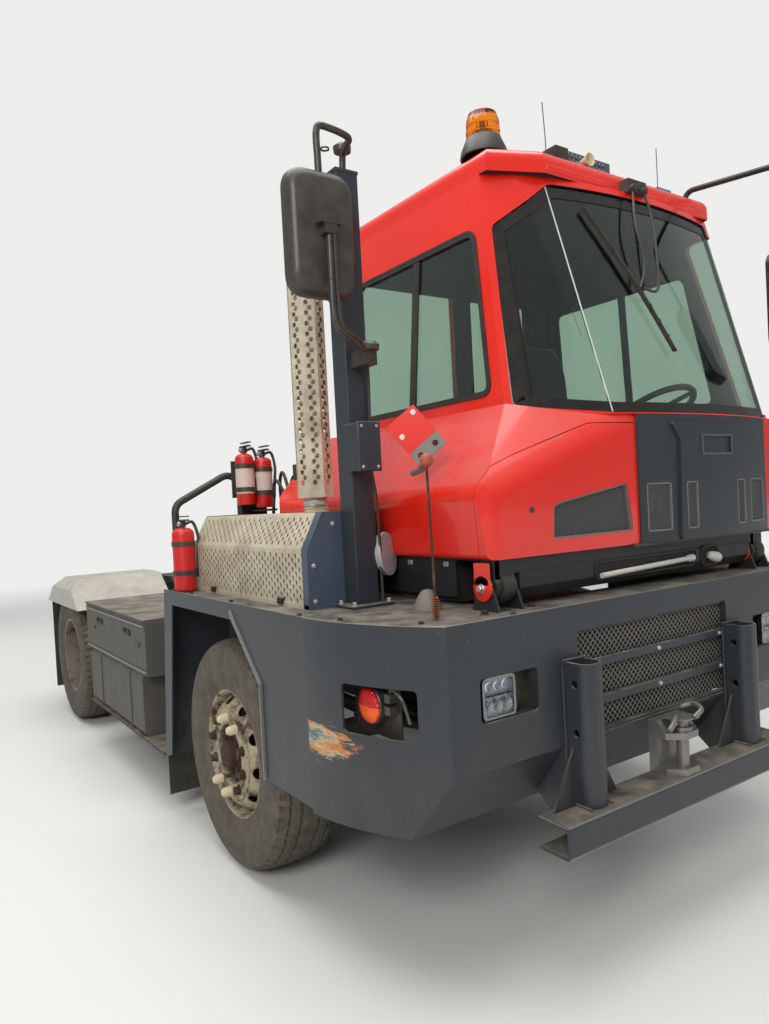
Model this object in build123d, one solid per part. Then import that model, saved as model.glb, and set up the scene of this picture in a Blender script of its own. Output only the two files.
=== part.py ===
"""Terminal tractor: a short two-axle yard tractor with an offset cab and a lifting fifth wheel.

Millimetres. The front is -Y, the right-hand side is -X, +Z is up. The origin lies on the ground,
midway along the length and on the centreline. Each sub-part is written to parts/NODE.step.
"""

import math
import os

from build123d import *

# Overall sizes
WHEELBASE = 3300
FRONT_AXLE_Y = -1220
REAR_AXLE_Y = FRONT_AXLE_Y + WHEELBASE
HALF_WIDTH = 1240
BUMPER_FACE_Y = FRONT_AXLE_Y - 1444
BEAM_FACE_Y = FRONT_AXLE_Y - 1580
REAR_OVERHANG = 720
REAR_END_Y = REAR_AXLE_Y + REAR_OVERHANG

# Wheels: 22.5 inch discs with 310 mm wide tyres, standing at their loaded height
TYRE_R = 522
TYRE_W = 310
RIM_SEAT_R = 286
RIM_LIP_R = 298.5
TYRE_OUTER_X = 1205
TWIN_PITCH = 350
SPINDLE_R = 45
RUNNING_GAP = 0.3
DISC_T = 14

# Frame
RAIL_WEB_X = 400
RAIL_WEB_T = 12
RAIL_FLANGE_X = 490
RAIL_FLANGE_T = 14
RAIL_Z0 = 650
RAIL_Z1 = 930
RAIL_FRONT_Y = -2470

# Deck and bumper
DECK_TOP = 1228
DECK_T = 6
LIP_TOP = 1238
SHELL_T = 8
FOLD_Z = 754
BUMPER_Z0 = 535
BUMPER_FOOT_Y = FRONT_AXLE_Y - 1278
SEAM_Y = FRONT_AXLE_Y - 870
DECK_REAR_Y = FRONT_AXLE_Y + 674
BAY_X = 620

# Cab
TILT_Y = FRONT_AXLE_Y - 1250
TILT_Z = 1310
CAB_RIGHT_X = -400
CAB_LEFT_X = 1200
BODY_RIGHT_X = -740
CAB_REAR_Y = FRONT_AXLE_Y + 150
CAB_FLOOR_Z = 1410
SILL_Z = 1940
HEADER_Z = 2990
ROOF_TOP = 3100
CAB_WALL = 40
GLASS_T = 6

# Lifting boom and fifth wheel
BOOM_PIVOT = (350, 880)
BOOM_X = 340
BOOM_T = 70
FIFTH_Y = REAR_AXLE_Y - 180
FIFTH_PIVOT_Z = 970
FIFTH_TOP = 1110
FOOT_PIN = (500, 530)
ROD_PIN = (1100, 860)
CYLINDER_X = 200
BOOM_PIN_R = 32
FIFTH_PIN_R = 30
ROD_PIN_R = 30


def block(x0, x1, y0, y1, z0, z1):
    """Box between two corners."""
    return Pos((x0 + x1) / 2, (y0 + y1) / 2, (z0 + z1) / 2) * Box(x1 - x0, y1 - y0, z1 - z0)


def closed_outline(points, corner):
    """Closed outline through points, its corners rounded to one radius or to one each."""
    if corner:
        return FilletPolyline(*points, radius=corner, close=True)
    return Polyline(*points, close=True)


def plan(points, z0, z1, corner=0):
    """Outline seen from above, as points (x, y), carried up from z0 to z1."""
    return Pos(0, 0, z0) * extrude(make_face(closed_outline(points, corner)), z1 - z0, dir=(0, 0, 1))


def side(points, x0, x1, corner=0):
    """Outline seen from the side, as points (y, z), carried across from x0 to x1."""
    face = make_face(Plane.YZ * closed_outline(points, corner))
    return Pos(x0, 0, 0) * extrude(face, x1 - x0, dir=(1, 0, 0))


def front(points, y0, y1, corner=0):
    """Outline seen from the front, as points (x, z), carried back from y0 to y1."""
    face = make_face(Plane.XZ * closed_outline(points, corner))
    return Pos(0, y0, 0) * extrude(face, y1 - y0, dir=(0, 1, 0))


def corners_of(low, high):
    """The four corners of a rectangle."""
    return [(low[0], low[1]), (high[0], low[1]), (high[0], high[1]), (low[0], high[1])]


def turned(points, centre):
    """Outline of points (x, radius) turned about an axis along X through centre."""
    return Pos(*centre) * revolve(make_face(Plane.XZ * Polyline(*points, close=True)), Axis.X, 360)


def bar(start, end, radius):
    """Round bar between two points."""
    length = (Vector(*end) - Vector(*start)).length
    seat = Plane(origin=start, z_dir=Vector(*end) - Vector(*start))
    return seat * Cylinder(radius, length, align=(Align.CENTER, Align.CENTER, Align.MIN))


def tube(points, radius, bend, wall=0):
    """Round tube bent through points, hollow where a wall is given."""
    path = FilletPolyline(*points, radius=bend)
    start = Plane(origin=path @ 0, z_dir=path % 0)
    ring = Circle(radius) - Circle(radius - wall) if wall else Circle(radius)
    return sweep(start * ring, path=path)


def both_sides(piece):
    """A right-hand piece with its mirror image on the left."""
    return piece + mirror(piece, about=Plane.YZ)


def left(piece):
    """The mirror image of a right-hand piece."""
    return mirror(piece, about=Plane.YZ)


# Front bumper shell: the flat face bends into bowed corners, and folds back under a crease

# Plan sections of the bumper: half width of its flat face, the face's y, and the corners' bow
BUMPER_UPPER = (HALF_WIDTH - 192, BUMPER_FACE_Y, 48)
BUMPER_LOWER = (HALF_WIDTH - 140, BUMPER_FOOT_Y, 25)


def bumper_outline(corner_x, face_y, bow):
    """Plan outline of the bumper: straight face, two bowed corners, run past the side seam."""
    back_y = SEAM_Y + 200
    start = Vector(-HALF_WIDTH, SEAM_Y)
    end = Vector(-corner_x, face_y)
    out = (end - start).rotate(Axis.Z, -90).normalized()
    middle = (start + end) * 0.5 + out * bow
    half = [
        Line((-HALF_WIDTH, back_y), (start.X, start.Y)),
        ThreePointArc((start.X, start.Y), (middle.X, middle.Y), (end.X, end.Y)),
    ]
    lines = Curve() + half + Line((-corner_x, face_y), (corner_x, face_y))
    lines += [mirror(edge, about=Plane.YZ) for edge in half]
    lines += Line((-HALF_WIDTH, back_y), (HALF_WIDTH, back_y))
    return make_face(lines.edges())


def bumper_solid(inset):
    """Bumper as a closed form, drawn in by inset on every side."""
    upper = bumper_outline(*BUMPER_UPPER)
    lower = bumper_outline(*BUMPER_LOWER)
    if inset:
        upper = offset(upper, -inset)
        lower = offset(lower, -inset)
    body = Pos(0, 0, FOLD_Z) * extrude(upper, LIP_TOP - FOLD_Z)
    foot = loft([Pos(0, 0, BUMPER_Z0) * lower, Pos(0, 0, FOLD_Z) * upper], ruled=True)
    return body + foot


def bumper_slope_y(z):
    """Outer face of the bumper below its fold, at height z."""
    share = (FOLD_Z - z) / (FOLD_Z - BUMPER_Z0)
    return BUMPER_FACE_Y + share * (BUMPER_FOOT_Y - BUMPER_FACE_Y)


GRILLE_X = 461
GRILLE_Z0 = 762
GRILLE_Z1 = 1145
LAMP_X = (664, 922)
LAMP_Z = (905, 1052)
CORNER_Y = (FRONT_AXLE_Y - 1355, FRONT_AXLE_Y - 1074)
CORNER_Z = (870, 1035)
WINDOW_CORNER = 16
POCKET_DEPTH = 120
POCKET_WALL = 4
CORNER_LAMP_R = 60
CORNER_PLATE_X = HALF_WIDTH - 122
MESH_PITCH = 62
MESH_WIRE = 5


def bumper():
    shell = bumper_solid(0) - bumper_solid(SHELL_T)
    shell -= block(-2000, 2000, SEAM_Y, SEAM_Y + 500, 0, 2000)
    opening = corners_of((-GRILLE_X, GRILLE_Z0), (GRILLE_X, GRILLE_Z1))
    shell -= front(opening, BUMPER_FACE_Y - 50, BUMPER_FACE_Y + 100, WINDOW_CORNER)
    pocket_y = BUMPER_FACE_Y + SHELL_T
    for turn in (1, -1):
        x0, x1 = sorted((turn * LAMP_X[0], turn * LAMP_X[1]))
        window = corners_of((x0, LAMP_Z[0]), (x1, LAMP_Z[1]))
        shell -= front(window, BUMPER_FACE_Y - 50, pocket_y, WINDOW_CORNER)
        t = POCKET_WALL
        pocket = block(x0 - t, x1 + t, pocket_y, pocket_y + POCKET_DEPTH, LAMP_Z[0] - t, LAMP_Z[1] + t)
        shell += pocket - block(x0, x1, pocket_y - 1, pocket_y + POCKET_DEPTH - t, LAMP_Z[0], LAMP_Z[1])
    return shell


def corner_windows():
    """Cutters of the lamp windows in the bowed corners."""
    window = corners_of((CORNER_Y[0], CORNER_Z[0]), (CORNER_Y[1], CORNER_Z[1]))
    return both_sides(side(window, -HALF_WIDTH - 160, -HALF_WIDTH + 240, WINDOW_CORNER))


def corner_lamps():
    """Round two-colour lamp behind each corner window, on a backing plate."""
    x = CORNER_PLATE_X
    y, z = CORNER_Y[1] - CORNER_LAMP_R - 14, sum(CORNER_Z) / 2 + 8
    plate = block(-x, -x + 6, CORNER_Y[0] - 60, CORNER_Y[1] + 90, CORNER_Z[0] - 20, CORNER_Z[1] + 20)
    plate &= bumper_solid(SHELL_T)
    profile = [(0, 0), (0, CORNER_LAMP_R), (-26, CORNER_LAMP_R), (-38, CORNER_LAMP_R - 16), (-38, 0)]
    return both_sides(plate + turned(profile, (-x, y, z)))


def headlights():
    """Square lamps with rounded corners, standing in their pockets."""
    back_y = BUMPER_FACE_Y + SHELL_T + POCKET_DEPTH - POCKET_WALL
    face = corners_of((-LAMP_X[1] + 20, LAMP_Z[0] + 4), (-LAMP_X[1] + 165, LAMP_Z[1] - 4))
    return both_sides(front(face, back_y - 80, back_y, 22))


def grille():
    """Three mesh bands between two cross bars, set in the front opening."""
    y0 = BUMPER_FACE_Y
    frame = front(corners_of((-GRILLE_X, GRILLE_Z0), (GRILLE_X, GRILLE_Z1)), y0, y0 + 30, WINDOW_CORNER)
    bands = ((GRILLE_Z0 + 10, 862), (890, 1000), (1028, GRILLE_Z1 - 10))
    for z0, z1 in bands:
        frame -= block(-GRILLE_X + 10, GRILLE_X - 10, y0 - 1, y0 + 31, z0, z1)
        frame += wire_mesh(-GRILLE_X + 10, GRILLE_X - 10, y0 + 18, z0, z1)
    return frame


def wire_mesh(x0, x1, y, z0, z1):
    """Two layers of flat wires crossing at 45 degrees, cut to the band from x0 to x1 and z0 to z1."""
    reach = z1 - z0
    wires = []
    for lean, depth in ((1, -MESH_WIRE), (-1, 0)):
        start = x0 - reach
        while start < x1 + reach:
            foot, head = (start, start + reach) if lean > 0 else (start + reach, start)
            wire = [(foot, z0), (foot + MESH_WIRE * 1.4, z0), (head + MESH_WIRE * 1.4, z1), (head, z1)]
            wires.append(front(wire, y + depth, y + depth + MESH_WIRE))
            start += MESH_PITCH
    return (Part() + wires) & block(x0, x1, y - MESH_WIRE, y + MESH_WIRE, z0, z1)


# Push beam and towing jaw

BEAM_Z = (440, 554)
BEAM_T = 10
BEAM_HALF = 692
POST_X = 486
POST_HALF = 52
POST_DEPTH = 105
POST_TOP = 1048
POST_HOLE_R = 14
POST_HOLE_Z = (805, 975)
POST_HOLE_BACK = 45


def push_beam():
    """Two hollow posts with gussets on a channel beam."""
    z0, z1 = BEAM_Z
    face, back, t = BEAM_FACE_Y, BUMPER_FACE_Y, BEAM_T
    channel = side([(face, z0), (back, z0), (back, z0 + t), (face + t, z0 + t), (face + t, z1 - t),
                    (back, z1 - t), (back, z1), (face, z1)], -BEAM_HALF, BEAM_HALF)
    channel = fillet(channel.edges().filter_by(Axis.X).group_by(Axis.Y)[0], 1.5 * t)
    return channel + both_sides(post())


def post():
    """Right-hand post: a pressed half shell on a back plate, drilled for locking pins, with its gussets."""
    y1, t, z1 = BUMPER_FACE_Y, BEAM_T, BEAM_Z[1]
    shell = block(-POST_X - POST_HALF, -POST_X + POST_HALF, y1 - POST_DEPTH, y1 - t, z1, POST_TOP)
    shell = fillet(shell.edges().filter_by(Axis.Z).group_by(Axis.Y)[0], POST_HALF - t)
    inner = POST_HALF - t
    hollow = block(-POST_X - inner, -POST_X + inner, y1 - POST_DEPTH + t, y1 - t, z1 + t, POST_TOP + 1)
    shell -= fillet(hollow.edges().filter_by(Axis.Z).group_by(Axis.Y)[0], POST_HALF - 2 * t)
    for z in POST_HOLE_Z:
        y = y1 - POST_HOLE_BACK
        shell -= bar((-POST_X - POST_HALF - 1, y, z), (-POST_X + POST_HALF + 1, y, z), POST_HOLE_R)
    plate_half = POST_HALF + 10
    shell += block(-POST_X - plate_half, -POST_X + plate_half, y1 - t, y1, z1, POST_TOP + 6)
    gusset = [(y1, FOLD_Z), (y1, BEAM_Z[0]), (bumper_slope_y(560), 560)]
    for x in (-POST_X - plate_half, -POST_X + plate_half - t):
        shell += side(gusset, x, x + t)
    for turn in (-1, 1):
        foot = -POST_X + turn * POST_HALF
        wing = [(foot, z1), (foot + turn * 110, z1), (foot, z1 + 200)]
        shell += front(wing, y1 - t - 22, y1 - t - 12)
    return shell


def tow_coupling():
    """Forked jaw over the beam, with its pin."""
    y1, z0 = BUMPER_FACE_Y, BEAM_Z[1]
    pin_y = y1 - 85
    # Each lip of the jaw: its under side and its top
    lips = ((z0, z0 + 25), (z0 + 136, z0 + 161))
    outline = [(-90, y1 - 40), (-90, pin_y + 10), (-40, pin_y - 42),
               (40, pin_y - 42), (90, pin_y + 10), (90, y1 - 40)]
    jaw = block(-90, 90, y1 - 40, y1, z0, z0 + 200)
    for low, high in lips:
        jaw += plan(outline, low, high)
    for x in (-90, 66):
        jaw += side([(y1 - 40, z0 + 200), (y1 - 40, lips[1][1]), (pin_y + 10, lips[1][1])], x, x + 24)
    jaw += bar((0, pin_y, z0 + 6), (0, pin_y, z0 + 196), 23)
    jaw += bar((0, pin_y, lips[1][1]), (0, pin_y, lips[1][1] + 14), 38)
    handle = tube([(0, pin_y, z0 + 186), (-36, pin_y + 4, z0 + 186), (-84, pin_y + 4, z0 + 172)], 9, 20)
    return jaw + handle


# Frame

def rail(x_sign):
    web, flange = RAIL_WEB_X, RAIL_FLANGE_X
    outline = [(web, RAIL_Z0), (flange, RAIL_Z0), (flange, RAIL_Z0 + RAIL_FLANGE_T),
               (web + RAIL_WEB_T, RAIL_Z0 + RAIL_FLANGE_T), (web + RAIL_WEB_T, RAIL_Z1 - RAIL_FLANGE_T),
               (flange, RAIL_Z1 - RAIL_FLANGE_T), (flange, RAIL_Z1), (web, RAIL_Z1)]
    return front([(x_sign * x, z) for x, z in outline], RAIL_FRONT_Y, REAR_END_Y)


def frame():
    """Two channel rails with cross members and outriggers under the decks."""
    body = rail(1) + rail(-1)
    inner = bumper_slope_y(740) + SHELL_T
    body += side([(inner, 740), (bumper_slope_y(600) + SHELL_T, 600), (RAIL_FRONT_Y, 600),
                  (RAIL_FRONT_Y, 740)], -RAIL_FLANGE_X, RAIL_FLANGE_X)
    # Cross members (y0, y1, z0, z1) between the webs
    crosses = ((-620, -560, 800, 900), (150, 210, 730, 900), (REAR_AXLE_Y - 30, REAR_AXLE_Y + 20, 760, 850),
               (REAR_END_Y - 20, REAR_END_Y, RAIL_Z0, RAIL_Z1))
    for y0, y1, z0, z1 in crosses:
        body += block(-RAIL_WEB_X, RAIL_WEB_X, y0, y1, z0, z1)
    foot = bar((-RAIL_WEB_X - 6, *FOOT_PIN), (RAIL_WEB_X + 6, *FOOT_PIN), ROD_PIN_R)
    hanger = [(FOOT_PIN[0] - 90, RAIL_Z1 - 60), (FOOT_PIN[0] - 50, 510), (FOOT_PIN[0] + 50, 510),
              (FOOT_PIN[0] + 90, RAIL_Z1 - 60)]
    for x0, x1 in ((-RAIL_WEB_X, -RAIL_WEB_X + 16), (RAIL_WEB_X - 16, RAIL_WEB_X)):
        body += side(hanger, x0, x1)
    body += foot
    body += bar((-RAIL_WEB_X - 6, *BOOM_PIVOT), (RAIL_WEB_X + 6, *BOOM_PIVOT), BOOM_PIN_R)
    # Outriggers that carry the decks: y of each plate
    for y in (-2440, SEAM_Y - 6, DECK_REAR_Y - 30):
        arm = [(RAIL_WEB_X + 20, RAIL_Z1), (RAIL_FLANGE_X, RAIL_Z1),
               (HALF_WIDTH - 120, DECK_TOP - DECK_T - 70),
               (HALF_WIDTH - 120, DECK_TOP - DECK_T), (RAIL_WEB_X + 20, DECK_TOP - DECK_T)]
        body += front(arm, y, y + 12)
        body += front([(-x, z) for x, z in arm], y, y + 12)
    return body


def front_deck():
    """Tread plate inside the bumper's lip, open over the engine bay."""
    plate = extrude(offset(bumper_outline(*BUMPER_UPPER), -SHELL_T), DECK_T)
    plate = Pos(0, 0, DECK_TOP - DECK_T) * plate
    plate -= block(-2000, 2000, SEAM_Y, SEAM_Y + 500, 0, 2000)
    return plate - block(-BAY_X, BAY_X, FRONT_AXLE_Y - 1180, SEAM_Y + 1, 0, 2000)


# Front edge of the wheel arch, ahead of the axle
ARCH_FRONT = 492


def side_deck():
    """Right-hand deck with its side wall cut for the wheel, and the plate behind the wheel."""
    def at(y, z):
        return (FRONT_AXLE_Y + y, z)

    wall_x = -HALF_WIDTH
    wall = side([(SEAM_Y, LIP_TOP), (SEAM_Y, 550), at(-ARCH_FRONT, 550), at(-ARCH_FRONT, 932), at(-235, 1165),
                 at(559, 1165), at(703, 352), at(803, 320), (DECK_REAR_Y, LIP_TOP)],
                wall_x, wall_x + SHELL_T)
    plate = block(wall_x + SHELL_T, -BAY_X, SEAM_Y, DECK_REAR_Y, DECK_TOP - DECK_T, DECK_TOP)
    guard = side([at(668, DECK_TOP - DECK_T), at(674, DECK_TOP - DECK_T), at(803, 320), at(797, 320)],
                 wall_x + SHELL_T, -880)
    return wall + plate + guard


def mudflaps():
    """Rubber flaps behind the front and rear wheels."""
    flap = block(-HALF_WIDTH + 10, -890, FRONT_AXLE_Y + 797, FRONT_AXLE_Y + 803, 110, 320)
    rear = block(-1205, -560, REAR_AXLE_Y + 633, REAR_AXLE_Y + 640, 160, FENDER_FOOT_Z)
    return both_sides(flap + rear)


# Boxes and steps along the frame

BOX_X = (-HALF_WIDTH, -RAIL_FLANGE_X - 40)
BATTERY_Y = (FRONT_AXLE_Y + 1090, FRONT_AXLE_Y + 2500)
TREAD_PANELS = 4


def battery_box():
    """Box with a stepped lid of tread panels, a parting seam and two grip slots in its face."""
    x0, x1 = BOX_X
    y0, y1 = BATTERY_Y
    box = fillet(block(x0 + 6, x1, y0, y1, 700, 1018).edges().filter_by(Axis.Y).group_by(Axis.X)[0], 12)
    step = (y1 - y0) / TREAD_PANELS
    for index in range(TREAD_PANELS):
        start = y0 + index * step
        box += block(x0, x1, start + 5, start + step - 5, 1018, 1030)
    seam_y = (y0 + y1) / 2
    box -= block(x0, x0 + 12, seam_y - 2, seam_y + 2, 700, 1018)
    for y in (seam_y - 330, seam_y + 330):
        grip = side(corners_of((y - 90, 900), (y + 90, 945)), x0, x0 + 34, 18)
        box -= grip
        box += block(x0 + 10, x0 + 34, y - 6, y + 6, 900, 945)
    return box


def fuel_tank():
    """Sheet tank with rounded long edges and two straps."""
    y0, y1 = FRONT_AXLE_Y + 1200, FRONT_AXLE_Y + 2450
    x0, x1 = BOX_X
    tank = fillet(block(x0 + 8, x1, y0, y1, 330, 700).edges().filter_by(Axis.Y), 40)
    for y in (y0 + 250, y1 - 300):
        strap = block(x0 + 2, x1, y, y + 50, 330, 700)
        strap = fillet(strap.edges().filter_by(Axis.Y).group_by(Axis.X)[0], 45)
        tank += strap
    return tank


def side_step():
    """Plate under the tank, with brackets up to the rail."""
    y0, y1 = FRONT_AXLE_Y + 840, FRONT_AXLE_Y + 2480
    step = block(-HALF_WIDTH, -RAIL_FLANGE_X - 40, y0, y1, 318, 330)
    for y in (y0 + 300, y1 - 200):
        step += block(-RAIL_FLANGE_X - 40, -RAIL_FLANGE_X, y, y + 60, 318, 900)
    return step


def entry_steps():
    """Three treads between two stringers on the left."""
    y0, y1 = FRONT_AXLE_Y + 850, FRONT_AXLE_Y + 1290
    steps = block(850, HALF_WIDTH, y0, y0 + 8, 330, 1222) + block(850, HALF_WIDTH, y1 - 8, y1, 330, 1222)
    for z in (340, 640, 940):
        steps += block(850, HALF_WIDTH, y0 + 8, y1 - 8, z, z + 8)
    steps += block(RAIL_FLANGE_X, 850, y0, y0 + 8, 700, 1222)
    steps += block(RAIL_FLANGE_X, 850, y1 - 8, y1, 700, 1222)
    return steps


def hydraulic_tank():
    """Left-hand oil tank with rounded long edges and its filler neck."""
    y0, y1 = FRONT_AXLE_Y + 1340, FRONT_AXLE_Y + 2480
    tank = block(RAIL_FLANGE_X, HALF_WIDTH - 20, y0, y1, 420, 930)
    tank = fillet(tank.edges().filter_by(Axis.Y).group_by(Axis.X)[-1], 45)
    return tank + bar((HALF_WIDTH - 160, y0 + 160, 930), (HALF_WIDTH - 160, y0 + 160, 985), 45)


def rear_platform():
    """Walkway behind the cab, on legs from the rails."""
    y0, y1 = FRONT_AXLE_Y + 260, FRONT_AXLE_Y + 1290
    plate = block(-BAY_X, BAY_X, y0, y1, DECK_TOP - DECK_T, DECK_TOP)
    plate += block(BAY_X, HALF_WIDTH - SHELL_T, DECK_REAR_Y, y1, DECK_TOP - DECK_T, DECK_TOP)
    for x in (-450, 450):
        for y in (y0 + 20, y1 - 40):
            plate += block(x - 20, x + 20, y, y + 12, RAIL_Z1, DECK_TOP - DECK_T)
    return plate


# Exhaust

EXHAUST_Y = (FRONT_AXLE_Y - 670, FRONT_AXLE_Y + 580)


def exhaust_box():
    """Bent guard sheet with end plates over the silencer."""
    t = 4
    sheet = [(-1100, DECK_TOP), (-1100, 1465), (-1024, 1605), (-760, 1605), (-760, 1605 - t),
             (-1024 + t, 1605 - t), (-1100 + t, 1465), (-1100 + t, DECK_TOP)]
    box = front(sheet, *EXHAUST_Y)
    end = [(-1100 + t, DECK_TOP), (-1100 + t, 1465), (-1024 + t, 1605 - t), (-900, 1605 - t),
           (-900, DECK_TOP)]
    box += front(end, EXHAUST_Y[0], EXHAUST_Y[0] + t)
    box += front(end, EXHAUST_Y[1] - t, EXHAUST_Y[1])
    return box - bar((-910, FRONT_AXLE_Y - 375, 1500), (-910, FRONT_AXLE_Y - 375, 1700), 60)


def silencer():
    """Round can along the deck on two feet."""
    can = bar((-925, FRONT_AXLE_Y - 600, 1410), (-925, FRONT_AXLE_Y + 300, 1410), 160)
    for y in (FRONT_AXLE_Y - 520, FRONT_AXLE_Y + 200):
        can += block(-985, -865, y, y + 30, DECK_TOP, 1300)
    return can + stack()


def stack():
    """Upright pipe in an eight-sided guard."""
    x, y = -910, FRONT_AXLE_Y - 375
    pipe = bar((x, y, 1500), (x, y, 3010), 48) - bar((x, y, 1590), (x, y, 3011), 44)
    guard = Pos(x, y, 1670) * extrude(RegularPolygon(80, 8) - RegularPolygon(77, 8), 1230)
    for z in (1700, 2860):
        guard += Pos(x, y, z) * extrude(RegularPolygon(78, 8) - Circle(48), 6)
    return pipe + guard


# Mirrors, rail and extinguishers

MAST = (-890, FRONT_AXLE_Y - 720)


def mirror_mast():
    """Square tube on a foot plate, with the junction box."""
    x, y = MAST
    mast = block(x - 50, x + 50, y - 50, y + 50, DECK_TOP + 12, 2930)
    mast -= block(x - 45, x + 45, y - 45, y + 45, DECK_TOP + 20, 2925)
    mast += block(x - 100, x + 100, y - 90, y + 50, DECK_TOP, DECK_TOP + 12)
    return mast + block(x - 80, x + 90, y - 150, y - 50, 1600, 1870)


def mirror_housing(low, high, y0, y1):
    """Mirror head between two corners (x, z): glass side flat, back domed by a wide round edge."""
    head = front(corners_of(low, high), y0, y1, 55)
    return fillet(head.edges().group_by(Axis.Y)[0], 40)


def mirror_right():
    """Right mirror housing on its bent tube."""
    x, y = MAST
    arm = tube([(x + 14, y, 2930), (x + 14, y, 3020), (x + 14, y - 130, 3020), (-1080, y - 130, 3020),
                (-1080, y - 130, 2280), (x - 10, y - 130, 2210), (x - 10, y - 50, 2210)], 13, 45)
    housing = mirror_housing((-1215, 2390), (-945, 2850), y - 230, y - 145)
    for z in (2480, 2720):
        housing += block(-1100, -1060, y - 145, y - 110, z, z + 40)
    housing -= bar((-1080, y - 130, 2400), (-1080, y - 130, 2840), 13)
    return Part() + [arm, housing]


def handrail():
    y = FRONT_AXLE_Y + 620
    return tube([(-1174, y, DECK_TOP), (-1174, y, 1676), (-806, y, 1868), (-806, y, DECK_TOP)], 19, 70)


def extinguishers():
    """Two upright extinguishers: one on the deck, one strapped to the rail's inner leg."""
    y = FRONT_AXLE_Y + 620
    low_x, high_x, strap = -1168, -806, 8
    low_y = y - 19 - 60
    low = bar((low_x, low_y, DECK_TOP), (low_x, low_y, 1560), 60)
    low += bar((low_x, low_y, 1560), (low_x, low_y, 1640), 28)
    high_y = y - 19 - strap - 50
    high = bar((high_x, high_y, 1660), (high_x, high_y, 1930), 50)
    high += bar((high_x, high_y, 1930), (high_x, high_y, 2000), 20)
    high += block(high_x - 12, high_x + 12, high_y + 45, y - 19, 1760, 1800)
    return low + high


# Running gear

WHEEL_X = TYRE_OUTER_X - TYRE_W / 2
INNER_X = WHEEL_X - TWIN_PITCH
AXLE_Z = TYRE_R
KINGPIN_X = 880
KINGPIN_R = 22
FORK_Z = 76
EAR_T = 34
ARM_END = (0, 230)
TIE_Z = AXLE_Z - FORK_Z - EAR_T


def tyre(centre_x, axle_y):
    """Tyre ring with rounded shoulders, seated between the rim flanges."""
    half = TYRE_W / 2
    bead = half - 25
    # Half section, as points (x, radius) from the bead out to the middle of the tread
    wall = [(bead, RIM_SEAT_R), (bead, RIM_LIP_R + 1), (half, 400), (half - 6, 470), (half - 40, TYRE_R)]
    ring = [(-x, r) for x, r in wall] + list(reversed(wall))
    return turned([(centre_x + x, r) for x, r in ring], (0, axle_y, AXLE_Z))


def flanges(centre_x):
    """Outer edge of a rim barrel: flange, seat, flange, as points (x, radius)."""
    bead = TYRE_W / 2 - 25
    return [(centre_x - bead - 7, RIM_LIP_R), (centre_x - bead, RIM_LIP_R), (centre_x - bead, RIM_SEAT_R),
            (centre_x + bead, RIM_SEAT_R), (centre_x + bead, RIM_LIP_R), (centre_x + bead + 7, RIM_LIP_R)]


VENT_COUNT = 10
STUD_COUNT = 10


def around_wheel(piece, count):
    """Copies of a piece drawn about the X axis, spread evenly round it."""
    return [Rotation(360 / count * index, 0, 0) * piece for index in range(count)]


def rim_front():
    """Single disc wheel with its hub and drum: bulging disc, vent holes, studs and a stepped hub."""
    x, bore = WHEEL_X, SPINDLE_R + RUNNING_GAP
    section = flanges(x) + [
        (x + 126, 272), (x + 100, 214), (x + 100, 118), (x + 146, 108), (x + 155, 60), (x + 155, 0),
        (x + 142, 0), (x + 142, bore), (x - 60, bore), (x - 60, 190), (x + 86, 190), (x + 86, 214),
        (x + 96, 262), (x - 137, 278)]
    disc = turned([(-px, r) for px, r in section], (0, 0, 0))
    vent = bar((-x - 80, 0, 236), (-x - 140, 0, 236), 19)
    studs = bar((-x - 100, 0, 168), (-x - 126, 0, 168), 14)
    disc = disc + around_wheel(studs, STUD_COUNT) - around_wheel(vent, VENT_COUNT)
    return Pos(0, FRONT_AXLE_Y, AXLE_Z) * disc


def rim_rear():
    """Twin disc wheels back to back on one hub, with vent holes and studs."""
    middle, bore, disc_t = (WHEEL_X + INNER_X) / 2, SPINDLE_R + RUNNING_GAP, DISC_T
    section = flanges(INNER_X) + [(INNER_X + 137, 284), (middle - disc_t, 258), (middle + disc_t, 258),
                                  (WHEEL_X - 137, 284)] + flanges(WHEEL_X) + [
        (WHEEL_X + 137, 276), (middle + disc_t + 16, 240), (middle + disc_t, 210), (middle + disc_t, 125),
        (WHEEL_X + 58, 112), (WHEEL_X + 70, 60), (WHEEL_X + 70, 0), (WHEEL_X + 56, 0), (WHEEL_X + 56, bore),
        (INNER_X - 100, bore), (INNER_X - 100, 185), (middle - disc_t, 185), (middle - disc_t, 210),
        (middle - disc_t - 16, 240), (INNER_X - 137, 276)]
    pair = turned([(-px, r) for px, r in section], (0, 0, 0))
    vent = bar((-middle - 60, 0, 226), (-middle + 60, 0, 226), 19)
    stud = bar((-middle - disc_t, 0, 168), (-middle - disc_t - 26, 0, 168), 14)
    pair = pair + around_wheel(stud, STUD_COUNT) - around_wheel(vent, VENT_COUNT)
    return Pos(0, REAR_AXLE_Y, AXLE_Z) * pair


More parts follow.
